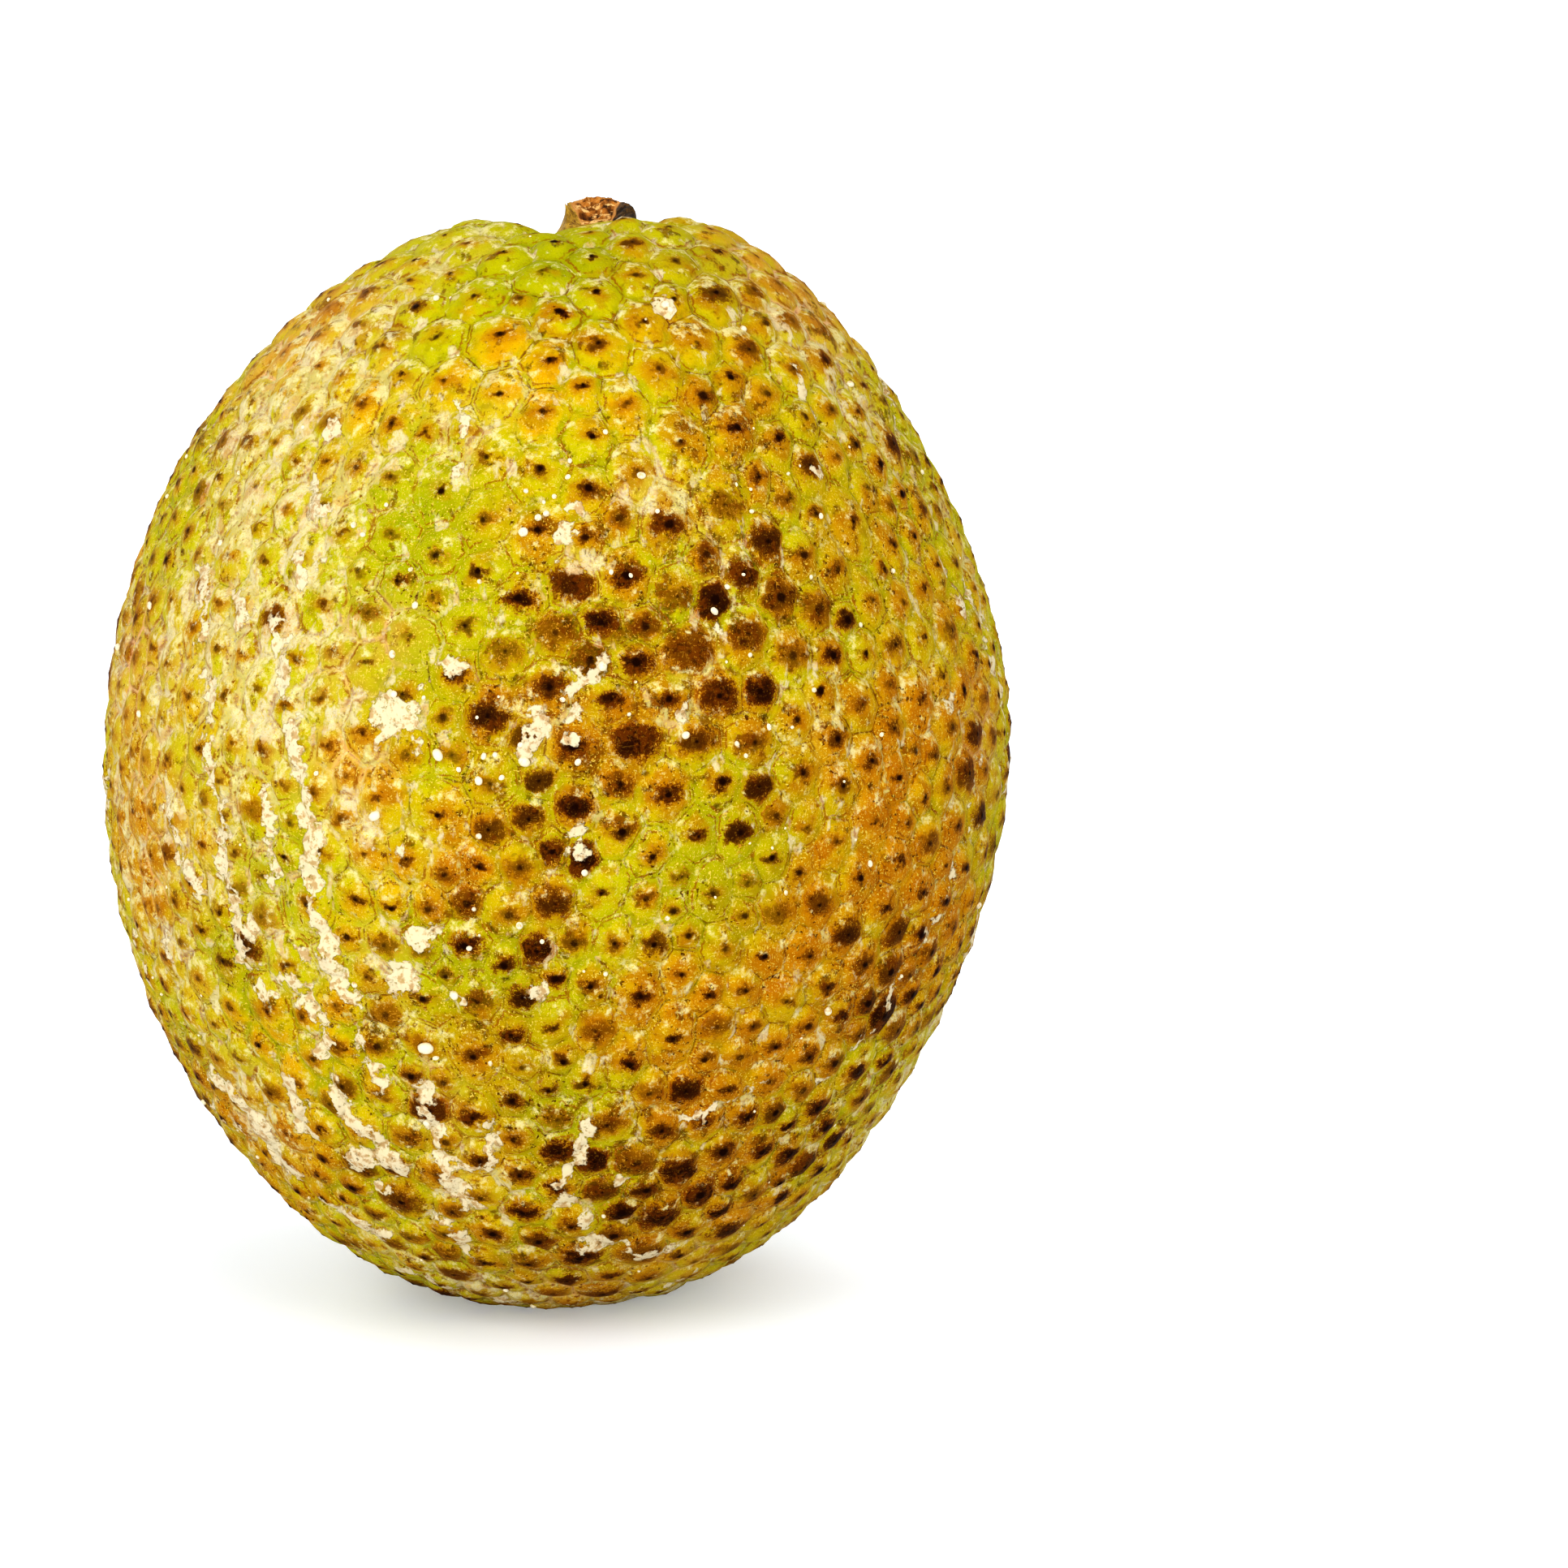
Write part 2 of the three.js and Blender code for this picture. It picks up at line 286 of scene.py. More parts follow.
zonePlaces = {  # (pixel x, pixel y, radius in mm, amount)
    "gold": [
        (680, 500, 12, 0.7), (700, 590, 10, 0.5), (650, 430, 8, 0.6), (750, 430, 9, 0.5),
        (560, 480, 9, 0.5), (460, 520, 10, 0.7), (600, 1060, 10, 0.9), (450, 975, 9, 0.8),
        (1100, 1020, 20, 0.8), (1130, 1150, 16, 1.0), (950, 1250, 14, 0.9), (860, 1370, 12, 0.8),
        (230, 850, 9, 0.4), (210, 1000, 9, 0.35), (500, 1110, 9, 0.8),
        (350, 1280, 12, 0.8), (420, 1230, 8, 0.6), (240, 1080, 10, 0.6), (1200, 860, 11, 0.8),
        (400, 400, 12, 0.6), (280, 1220, 10, 0.7), (320, 1400, 9, 0.6), (230, 780, 9, 0.6),
        (160, 860, 9, 0.4), (150, 1000, 8, 0.4), (1000, 430, 12, 0.4), (1120, 620, 12, 0.5),
        (780, 900, 26, 0.45), (640, 1290, 22, 0.6), (980, 640, 24, 0.5), (620, 1490, 20, 0.6),
        (1000, 960, 26, 0.45), (880, 480, 16, 0.4), (780, 1250, 16, 0.5),
        (900, 480, 12, 0.5), (1080, 760, 16, 0.5), (620, 700, 10, 0.5), (780, 1120, 9, 0.4),
        (560, 660, 8, 0.3), (990, 520, 10, 0.35), (400, 1420, 12, 0.7), (800, 340, 9, 0.35),
    ],
    "brown": [
        (800, 760, 15, 1.0), (880, 680, 14, 0.95), (975, 740, 9, 0.9), (890, 850, 10, 0.8),
        (760, 955, 8, 0.6), (680, 1040, 9, 0.45), (750, 880, 12, 0.95), (640, 865, 9, 0.65),
        (580, 1140, 7, 0.8), (660, 1190, 6, 0.7),
        (590, 1260, 7, 0.6), (530, 1370, 8, 0.6), (490, 1460, 9, 0.6), (740, 1410, 10, 0.8),
        (690, 1550, 18, 0.42), (820, 1450, 16, 0.9), (1080, 1230, 14, 0.7), (1200, 930, 9, 0.5),
        (900, 520, 9, 0.7), (700, 410, 7, 0.4), (350, 745, 5, 0.6), (470, 1255, 6, 0.8),
        (480, 400, 7, 0.5), (1000, 1400, 14, 0.7), (900, 1000, 9, 0.3), (1040, 900, 10, 0.4),
        (280, 540, 7, 0.5), (310, 1200, 5, 0.6), (550, 1530, 9, 0.35), (700, 750, 8, 0.7),
        (400, 390, 10, 0.35), (1010, 420, 12, 0.45), (1110, 560, 12, 0.45), (900, 350, 9, 0.45),
        (770, 1275, 9, 0.4), (620, 1400, 9, 0.35), (770, 360, 8, 0.25),
    ],
    "wash": [
        (400, 450, 12, 0.7), (330, 520, 12, 0.9), (320, 610, 10, 0.8), (380, 660, 8, 0.8),
        (260, 680, 8, 0.6), (300, 830, 9, 0.7), (350, 880, 8, 0.6), (430, 1010, 7, 0.6),
        (540, 1360, 7, 0.3), (570, 1450, 8, 0.35), (320, 1370, 9, 0.7), (1060, 500, 12, 0.35),
        (980, 400, 10, 0.32), (800, 600, 5, 0.55), (847, 622, 4, 0.55), (885, 692, 4, 0.5),
        (862, 822, 4, 0.45), (846, 880, 5, 0.3), (667, 900, 5, 0.3), (716, 692, 4, 0.5),
        (640, 1340, 6, 0.15), (510, 1260, 5, 0.35), (700, 1240, 6, 0.1), (470, 1180, 6, 0.4),
        (520, 900, 7, 0.1), (520, 1060, 6, 0.3), (1000, 900, 6, 0.3), (1140, 850, 6, 0.3),
        (560, 540, 6, 0.6), (440, 600, 8, 0.5), (230, 1200, 8, 0.6), (260, 1060, 8, 0.5),
        (500, 350, 8, 0.45), (570, 300, 8, 0.4), (800, 300, 6, 0.3),
        # the places at pixel x 140 to 160, on the left edge, also paint a pale rim: a painted
        # reflection
        (300, 760, 10, 0.8), (230, 760, 9, 0.8), (350, 800, 9, 0.7), (150, 780, 9, 0.6),
        (140, 900, 8, 0.5), (160, 1050, 9, 0.6), (400, 780, 9, 0.6), (300, 960, 9, 0.6),
        (350, 1150, 8, 0.45), (1195, 700, 7, 0.6), (1155, 610, 6, 0.5), (210, 1010, 7, 0.6),
        (1120, 500, 8, 0.35), (205, 890, 7, 0.6), (560, 1578, 6, 0.6), (640, 1600, 7, 0.8),
        (730, 1606, 7, 0.8), (820, 1598, 7, 0.7), (470, 1530, 6, 0.5), (1050, 420, 7, 0.4),
        (200, 1150, 7, 0.5), (485, 1535, 8, 0.4), (620, 490, 8, 0.25), (490, 490, 8, 0.3),
    ],
    "green": [
        (700, 320, 9, 0.8), (630, 340, 7, 0.5), (850, 320, 8, 0.5), (520, 640, 12, 0.8),
        (480, 820, 10, 0.7), (600, 770, 8, 0.6), (920, 1060, 12, 0.8), (880, 1100, 8, 0.6),
        (620, 1240, 12, 0.8), (670, 1360, 10, 0.9), (1040, 700, 10, 0.4), (270, 1170, 8, 0.6),
        (760, 880, 8, 0.5), (550, 1190, 7, 0.7), (330, 1090, 8, 0.5), (640, 960, 8, 0.5),
        (980, 960, 8, 0.5), (450, 720, 8, 0.6), (1000, 600, 9, 0.4),
    ],
    "rust": [
        (1110, 1010, 24, 1.0), (1150, 1130, 18, 1.0), (1190, 900, 14, 0.8), (1000, 1240, 18, 0.8),
        (1060, 1130, 16, 0.7), (870, 1340, 15, 0.6), (780, 1290, 9, 0.5), (600, 1060, 9, 0.7),
        (900, 1480, 18, 0.9), (760, 1560, 18, 0.5), (860, 1230, 13, 0.6), (910, 1140, 9, 0.4),
        (660, 1130, 8, 0.5), (1155, 770, 12, 0.65),
        (640, 880, 11, 0.6), (760, 880, 12, 0.65), (900, 880, 12, 0.4), (1040, 630, 13, 0.6),
        (640, 625, 9, 0.3), (760, 620, 9, 0.4), (480, 890, 8, 0.4),
        (620, 1280, 11, 0.6), (600, 1400, 10, 0.45), (840, 380, 14, 0.35), (780, 1270, 8, 0.3),
        (900, 500, 11, 0.35), (490, 1010, 8, 0.4),
    ],
    "blush": [
        (160, 820, 12, 0.9), (180, 960, 12, 0.5), (150, 700, 8, 0.6), (190, 1080, 8, 0.4),
        (1215, 900, 9, 0.4), (690, 1602, 12, 0.45), (430, 930, 6, 0.4), (480, 780, 5, 0.5),
        (430, 830, 5, 0.4),
    ],
}
zonesBehind = {
    "count": 170, "seed": 5, "radius": (7, 18), "amount": (0.35, 1.0),
    "names": ("gold", "brown", "gold", "wash", "gold", "brown", "green", "gold", "rust", "blush"),
}

latexRuns = [  # pixels down the run, its width in mm, and how whole it is
    ([(250, 700), (253, 745), (246, 792)], 2.6, 0.8),
    ([(288, 735), (304, 748), (292, 770)], 2.6, 0.6),
    ([(386, 600), (388, 626)], 3.0, 0.9),
    ([(368, 690), (372, 716)], 2.8, 0.8),
    ([(343, 762), (346, 800), (352, 822), (350, 852)], 2.6, 0.9),
    ([(252, 836), (264, 866), (257, 900), (257, 930), (262, 962)], 2.2, 0.9),
    ([(363, 896), (366, 930), (370, 960), (378, 988)], 2.9, 1.0),
    ([(378, 988), (380, 1015), (386, 1045), (384, 1090)], 3.2, 1.0),
    ([(206, 990), (213, 1012), (221, 1042), (223, 1060)], 1.5, 0.9),
    ([(228, 1066), (240, 1092)], 3.2, 1.0),
    ([(272, 992), (276, 1020), (271, 1050), (278, 1082)], 2.1, 0.9),
    ([(322, 950), (326, 985), (334, 1020), (340, 1090)], 2.2, 0.55),
    ([(286, 1100), (292, 1140)], 2.2, 0.7),
    ([(308, 1128), (313, 1150)], 2.0, 1.0),
    ([(294, 1162), (300, 1186), (312, 1190)], 2.4, 1.0),
    ([(394, 1128), (404, 1150), (408, 1186), (420, 1218), (440, 1232)], 3.2, 0.95),
    ([(352, 1205), (368, 1215), (376, 1238), (392, 1254), (402, 1276), (404, 1296)], 2.9, 0.95),
    ([(318, 1216), (332, 1226)], 2.6, 0.9),
    ([(356, 1330), (366, 1362), (378, 1388), (390, 1400)], 2.9, 0.95),
    ([(414, 1334), (426, 1362), (434, 1382), (452, 1396)], 2.9, 0.9),
    ([(440, 1275), (455, 1302), (466, 1332), (482, 1336)], 2.2, 0.85),
    ([(436, 1430), (470, 1420), (486, 1432), (498, 1446)], 3.6, 0.95),
    ([(462, 1460), (480, 1466)], 1.8, 0.9),
    ([(398, 1478), (430, 1492), (460, 1516), (482, 1526)], 2.6, 0.9),
    ([(262, 1322), (292, 1352), (322, 1392), (342, 1422), (372, 1448)], 3.4, 0.85),
    ([(522, 1340), (532, 1380), (546, 1424), (562, 1462), (572, 1484)], 3.8, 0.45),
    ([(546, 1434), (584, 1438)], 2.2, 0.9),
    ([(566, 1462), (584, 1484)], 3.4, 0.8),
    ([(545, 1502), (562, 1518), (582, 1546)], 2.0, 0.9),
    ([(600, 1378), (606, 1404), (598, 1440)], 2.4, 0.5),
    ([(462, 900), (470, 926)], 1.6, 0.9),
    ([(520, 838), (516, 880), (518, 928)], 2.4, 0.4),
    ([(446, 1040), (496, 1042)], 2.0, 0.6),
    ([(566, 500), (570, 540), (564, 590)], 2.2, 0.45),
    ([(504, 1154), (536, 1150)], 2.6, 1.0),
    ([(648, 900), (664, 916), (650, 930)], 2.6, 0.5),
    ([(660, 880), (672, 900)], 3.0, 0.3),
    ([(1206, 930), (1198, 985), (1184, 1040), (1160, 1110), (1136, 1160)], 1.2, 0.8),
    ([(1106, 1208), (1084, 1252), (1050, 1290), (1012, 1330)], 1.4, 0.8),
    ([(944, 1330), (908, 1350), (868, 1372), (836, 1384)], 1.4, 0.6),
    ([(724, 1392), (706, 1432), (690, 1462)], 2.6, 0.75),
    ([(1066, 430), (1086, 470), (1104, 530)], 2.6, 0.45),
    ([(962, 438), (986, 470), (1004, 508)], 2.0, 0.5),
    ([(760, 1530), (790, 1548), (820, 1538)], 2.4, 0.7),
    ([(490, 1560), (580, 1590), (660, 1606)], 2.4, 0.6),
    ([(700, 1606), (780, 1596), (850, 1566)], 2.0, 0.5),
    ([(200, 1140), (206, 1170), (214, 1190)], 1.4, 0.8),
    ([(186, 700), (182, 730)], 1.2, 0.6),
]
latexDrops = [  # pixel x and y, width and height in mm
    (709, 627, 2.7, 2.9), (702, 644, 2.0, 3.0), (701, 658, 3.2, 2.9), (682, 695, 1.5, 2.7),
    (713, 836, 1.7, 1.8), (705, 848, 1.7, 1.8), (714, 882, 2.4, 3.0), (704, 901, 2.0, 2.2),
    (652, 922, 2.5, 2.6), (711, 1030, 2.5, 3.0), (713, 1052, 2.7, 3.4), (484, 868, 3.8, 3.2),
    (474, 882, 4.0, 3.2), (494, 876, 2.2, 4.4), (560, 822, 3.0, 1.8), (662, 1224, 3.0, 2.8),
    (492, 1192, 2.6, 3.2), (505, 1206, 2.8, 4.2), (488, 1212, 2.6, 2.0), (518, 1160, 2.6, 2.2),
    (411, 531, 2.3, 2.9), (427, 558, 1.3, 1.2), (402, 632, 1.7, 1.5), (400, 693, 1.7, 1.2),
    (820, 378, 3.0, 1.6), (735, 1530, 4.6, 2.8), (560, 1226, 1.5, 1.9), (742, 822, 1.8, 2.2),
    (1010, 580, 2.0, 2.6), (1170, 872, 1.8, 2.6), (890, 770, 1.0, 1.2), (770, 1452, 2.0, 1.8),
    (695, 1478, 3.4, 2.4), (720, 1500, 2.4, 2.0), (370, 1172, 2.0, 2.2), (846, 880, 3.0, 2.0),
]
latexBehind = {
    "runs": 60, "drops": 70, "seed": 9,
    "width": (1.4, 3.4), "length": (6, 32), "dropLength": (1, 4),  # mm
    "elevation": (-55, 78), "degreesPerMm": 0.72,
}
areoleSettings = {
    "seed": 17,
    "stainLeast": 0.85,  # mm from the tip
    "stainMost": 2.6,  # mm that chance adds
    "wideFrom": 0.92,  # the share of the areoles whose stain isn't one of the widest
    "wideAdds": 1.1,  # mm
    "tipLeast": 0.12,  # mm, the dark dot's radius
}


def zoneSpots():  # for each zone: points, radii and amounts
    spots = {name: [] for name in zonePlaces}
    for name, places in zonePlaces.items():
        for x, y, radius, amount in places:
            spots[name].append((throughPixel(x, y), radius * mm, amount))
    draw = random.Random(zonesBehind["seed"])
    names = zonesBehind["names"]
    for k in range(zonesBehind["count"]):
        spot = onSkin(*anyDirection(draw))
        radius = draw.uniform(*zonesBehind["radius"])
        amount = draw.uniform(*zonesBehind["amount"])
        if not inSight(spot):
            spots[names[k % len(names)]].append((spot, radius * mm, amount))
    return spots


def zoneAmount(points, spots, stretch=1.0):
    total = np.zeros(len(points))
    for place, radius, amount in spots:
        away = (points - np.array(place)) * (1, 1, 1 / stretch)
        near = np.sum(away ** 2, axis=1) / radius ** 2
        total = np.maximum(total, amount * np.exp(-near)) + 0.35 * amount * np.exp(-near)
    return np.clip(total, 0, 1)


def latexStrokes():  # (start, end, half width, wholeness) of each straight stretch
    strokes = []
    for path, width, whole in latexRuns:
        places = [throughPixel(x, y) for x, y in path]
        for a, b in zip(places, places[1:]):
            strokes.append((a, b, width / 2 * mm, whole))
    for x, y, width, height in latexDrops:
        middle = throughPixel(x, y)
        reach = Vector((0, 0, max(0, height - width) / 2 * mm))
        strokes.append((middle - reach, middle + reach, width / 2 * mm, 1.25))
    draw = random.Random(latexBehind["seed"])
    for k in range(latexBehind["runs"] + latexBehind["drops"]):
        bearing, elevation = anyDirection(draw, *latexBehind["elevation"])
        width = draw.uniform(*latexBehind["width"])
        length = draw.uniform(*latexBehind["length"])
        drift, whole = draw.uniform(-0.2, 0.2), draw.uniform(0.2, 1.0)
        if k >= latexBehind["runs"]:
            length, whole = draw.uniform(*latexBehind["dropLength"]), 1.2
        if inSight(onSkin(bearing, elevation)):
            continue
        steps = max(1, int(length / 6))
        places = []
        for step in range(steps + 1):
            drop = length * step / steps
            sideways = drift * drop + draw.uniform(-1, 1)
            lower = drop * latexBehind["degreesPerMm"]
            places.append(onSkin(bearing + sideways, elevation - lower))
        for a, b in zip(places, places[1:]):
            strokes.append((a, b, width / 2 * mm, whole))
    return strokes


def latexAmount(points, strokes):  # mm inside the edge of the nearest latex; negative outside
    best = np.full(len(points), -2.0)
    for a, b, half, whole in strokes:
        a, b = np.array(a), np.array(b)
        along = b - a
        t = np.clip((points - a) @ along / max(along @ along, 1e-12), 0, 1)
        away = np.linalg.norm(points - (a + t[:, None] * along), axis=1)
        best = np.maximum(best, (half - away) / mm + (whole - 1) * 0.9)
    return np.clip(best, -2, 2)


def drawAreoles(settings, brown, crown, gold, wash):  # what differs from one areole to the next
    draw = np.random.default_rng(settings["seed"])
    n = len(areoleIds)
    size = draw.random(n)
    growth = (0.85 + settings["stainMost"] * size ** 1.2) * (0.12 + 1.12 * brown)
    stain = settings["stainLeast"] + growth
    stain = np.where(size > settings["wideFrom"], stain + settings["wideAdds"], stain)
    stain = stain * (1 - 0.30 * crown) * (1 - 0.15 * wash)
    strength = np.clip(0.35 + 0.8 * draw.random(n) * (0.5 + brown), 0, 1) * (1 - 0.3 * wash)
    hue = np.clip(0.5 * draw.random(n) + 0.5 * draw.random(n) + 0.3 * (gold - 0.3), 0, 1)
    line = draw.random(n)
    tip = settings["tipLeast"] + (0.28 + 0.35 * brown) * draw.random(n) ** 1.1
    return np.stack([stain, strength, hue, line], axis=1), tip


def makeSkin(settings):
    base = smoothed(cadPoints, cadTriangles, settings["smoothing"])
    normals = pointNormals(base, cadTriangles)
    lift = np.sum((cadPoints - base) * normals, axis=1)
    ground = cadPoints - normals * lift[:, None]

    shares, kinds, faces = sectorPattern(settings)
    keys = patternKeys(kinds, sectors)
    flatKeys = keys.reshape(-1, 4)
    _, first, place = np.unique(flatKeys, axis=0, return_index=True, return_inverse=True)
    place = place.reshape(len(sectors), -1)

    ends = ground[sectors]  # sector, 3, xyz
    endNormals = normals[sectors]
    straight = np.einsum("pw,swx->spx", shares, ends)
    rounded = np.zeros_like(straight)
    for k in range(3):
        off = np.einsum("spx,sx->sp", straight - ends[:, None, k], endNormals[:, k])
        rounded += shares[None, :, k, None] * (straight - off[..., None] * endNormals[:, None, k])
    body = straight + settings["roundness"] * (rounded - straight)
    bodyNormals = np.einsum("pw,swx->spx", shares, endNormals)
    bodyNormals /= np.linalg.norm(bodyNormals, axis=2, keepdims=True)

    # how far out each point is in its areole, and the lift of the border beside it
    out = 1 - shares[:, 0]
    lifts = lift[sectors]
    borderShare = np.where(out > 0, shares[:, 2] / np.maximum(out, 1e-9), 0.5)
    borderLift = lifts[:, 1, None] * (1 - borderShare) + lifts[:, 2, None] * borderShare
    high = soft(np.clip(body[..., 2] / settings["height"], 0, 1), *settings["crown"])
    relief, flatness, crease = (
        low + (atCrown - low) * high
        for low, atCrown in (settings[name] for name in ("relief", "flatness", "crease")))
    dome = 1 - out[None, :] ** flatness
    raised = (borderLift + (lifts[:, 0, None] - borderLift) * dome) * relief
    raised[:, 0] += settings["nub"] * mm

    # distances inside the areole, in mm, along two directions that lie in the skin
    around = np.cross([0, 0, 1], endNormals[:, 0])
    around /= np.maximum(np.linalg.norm(around, axis=1, keepdims=True), 1e-9)
    upward = np.cross(endNormals[:, 0], around)
    fromTip = straight - ends[:, None, 0]
    acrossMm = np.einsum("spx,sx->sp", fromTip, around) / mm
    upwardMm = np.einsum("spx,sx->sp", fromTip, upward) / mm
    side = ends[:, 2] - ends[:, 1]
    twiceArea = np.linalg.norm(np.cross(side, ends[:, 0] - ends[:, 1]), axis=1)
    reach = twiceArea / np.linalg.norm(side, axis=1)
    borderMm = (1 - out)[None, :] * reach[:, None] / mm

    points = body.reshape(-1, 3)[first]
    outward = bodyNormals.reshape(-1, 3)[first]
    raised = raised - crease * np.exp(-(borderMm / settings["creaseWidth"]) ** 2) * mm
    up = raised.reshape(-1)[first]
    outThere = np.broadcast_to(out, body.shape[:2]).reshape(-1)[first]

    bend = np.stack([noiseAt(points, 4.5 * mm, 7 + k) for k in range(3)], axis=1)
    latex = latexAmount(points + bend * settings["latexBend"] * mm, latexStrokes())
    latex += 0.45 * noiseAt(points, 5 * mm, 10)
    lumps = noiseAt(points, settings["lumpSize"] * mm, 1) + 0.5 * noiseAt(points, 2.2 * mm, 2)
    for x, y, radius, depth in settings["dents"]:
        away = np.linalg.norm(points - np.array(throughPixel(x, y)), axis=1)
        up -= depth * mm * np.exp(-(away / (radius * mm)) ** 2)
    fade = soft(points[:, 2], 0.0, 3 * mm)
    up = up + lumps * settings["lumps"] * mm * fade
    up += soft(latex, -0.2, 0.7) * settings["latexHeight"] * mm * fade
    wander = np.stack([noiseAt(points, 2.6 * mm, 3 + k) for k in range(3)], axis=1)
    wander -= np.sum(wander * outward, axis=1, keepdims=True) * outward
    moved = points + outward * up[:, None]
    moved += wander * (settings["borderWander"] * mm * soft(outThere, 0.5, 0.9) * fade)[:, None]
    moved[:, 2] = np.maximum(moved[:, 2], 0)

    spots = zoneSpots()
    stretches = {"wash": settings["washRun"]}
    zones = {name: zoneAmount(points, spots[name], stretches.get(name, 1)) for name in spots}
    tips = cadPoints[areoleIds]
    crown = soft(tips[:, 2], *settings["plainFrom"])
    brown, gold, wash = (zoneAmount(tips, spots[name]) for name in ("brown", "gold", "wash"))
    draws, tipSize = drawAreoles(areoleSettings, brown, crown, gold, wash)

    allFaces = place[:, faces].reshape(-1, 3)
    mesh = bpy.data.meshes.new("fruit_skin")
    mesh.vertices.add(len(moved))
    mesh.vertices.foreach_set("co", moved.ravel())
    mesh.loops.add(allFaces.size)
    mesh.loops.foreach_set("vertex_index", allFaces.ravel().astype(np.int32))
    mesh.polygons.add(len(allFaces))
    mesh.polygons.foreach_set("loop_start", np.arange(0, allFaces.size, 3, dtype=np.int32))
    mesh.polygons.foreach_set("loop_total", np.full(len(allFaces), 3, dtype=np.int32))
    mesh.update(calc_edges=True)
    mesh.validate()
    shadeSmooth(mesh)

    def onCorners(values):  # a value for each pattern point of each sector
        return values[:, faces].reshape(-1)

    def store(name, kind, domain, field, values):
        attribute = mesh.attributes.new(name, kind, domain)
        attribute.data.foreach_set(field, np.ascontiguousarray(values, dtype=np.float32).ravel())

    inSkin = (acrossMm, upwardMm, np.zeros_like(acrossMm))
    inAreole = np.stack([onCorners(values) for values in inSkin], axis=1)
    store("inAreole", "FLOAT_VECTOR", "CORNER", "vector", inAreole)
    store("fromBorder", "FLOAT", "CORNER", "value", onCorners(borderMm))
    perCorner = np.repeat(areoleOf.reshape(-1), len(faces) * 3)
    store("areoleDraw", "FLOAT_COLOR", "CORNER", "color", draws[perCorner])
    store("tipSize", "FLOAT", "CORNER", "value", tipSize[perCorner])
    zoneColour = np.stack([zones[name] for name in ("gold", "brown", "wash", "green")], axis=1)
    store("zones", "FLOAT_COLOR", "POINT", "color", zoneColour)
    for name, values in (("blush", zones["blush"]), ("rust", zones["rust"]), ("latex", latex)):
        store(name, "FLOAT", "POINT", "value", values)
    print("fine skin:", len(moved), "points,", len(allFaces), "triangles")
    return addObject("fruit_skin", mesh)


skin = makeSkin(skinSettings)


def srgb(text):  # "#rrggbb" as the colour that the nodes need
    parts = [int(text[k:k + 2], 16) / 255 for k in (1, 3, 5)]
    return tuple(p / 12.92 if p < 0.04045 else ((p + 0.055) / 1.055) ** 2.4 for p in parts) + (1,)


def place(tree, kind, inputs=None, **settings):  # a node with its settings, values and links
    made = tree.nodes.new(kind)
    for name, value in settings.items():
        setattr(made, name, value)
    for name, value in (inputs or {}).items():
        if isinstance(value, bpy.types.NodeSocket):
            tree.links.new(value, made.inputs[name])
        else:
            made.inputs[name].default_value = value
    return made


def maths(tree, operation, a, b=0.0, clamp=False):
    made = place(tree, "ShaderNodeMath", {0: a, 1: b}, operation=operation, use_clamp=clamp)
    return made.outputs[0]


def chain(tree, operation, first, *others):  # adds up, or multiplies, any number of values
    for other in others:
        first = maths(tree, operation, first, other)
    return first


def between(tree, value, start, end, low=0.0, high=1.0):  # smooth step from low to high
    inputs = {"Value": value, "From Min": start, "From Max": end, "To Min": low, "To Max": high}
    made = place(tree, "ShaderNodeMapRange", inputs, interpolation_type="SMOOTHSTEP")
    return made.outputs["Result"]


def blend(tree, share, a, b):  # a and b come from nodes or are "#rrggbb"
    a, b = (srgb(one) if isinstance(one, str) else one for one in (a, b))
    return place(tree, "ShaderNodeMix", {0: share, 6: a, 7: b}, data_type="RGBA").outputs[2]


def painter(tree, colours):  # blends named colours, and those that come from nodes
    def paint(share, under, over):
        under, over = (colours[one] if isinstance(one, str) else one for one in (under, over))
        return blend(tree, share, under, over)
    return paint


def grain(tree, where, size, detail=2.0, rough=0.55, twist=0.0, colour=False):  # size in mm
    inputs = {"Vector": where, "Scale": 1000 / size, "Detail": detail, "Roughness": rough,
              "Distortion": twist}
    return place(tree, "ShaderNodeTexNoise", inputs).outputs["Color" if colour else "Fac"]


def attribute(tree, name, output="Fac"):
    return place(tree, "ShaderNodeAttribute", attribute_name=name).outputs[output]


def objectPlace(tree):
    return place(tree, "ShaderNodeTexCoord").outputs["Object"]


def newMaterial(name):
    material = bpy.data.materials.new(name)
    material.use_nodes = True
    material.node_tree.nodes.clear()
    return material, material.node_tree


def finishMaterial(tree, inputs):
    shader = place(tree, "ShaderNodeBsdfPrincipled", inputs)
    place(tree, "ShaderNodeOutputMaterial", {"Surface": shader.outputs[0]})


def relief(tree, height, strength, depth):  # depth in mm
    inputs = {"Strength": strength, "Distance": depth * mm, "Height": height}
    return place(tree, "ShaderNodeBump", inputs).outputs[0]


def newGroup(name, inputs, outputs):  # a node group with named inputs and outputs
    group = bpy.data.node_groups.new(name, "ShaderNodeTree")
    for label, kind, value in inputs:
        socket = group.interface.new_socket(label, in_out="INPUT", socket_type=kind)
        if value is not None:
            socket.default_value = value
    for label, kind in outputs:
        group.interface.new_socket(label, in_out="OUTPUT", socket_type=kind)
    return group, group.nodes.new("NodeGroupInput"), group.nodes.new("NodeGroupOutput")


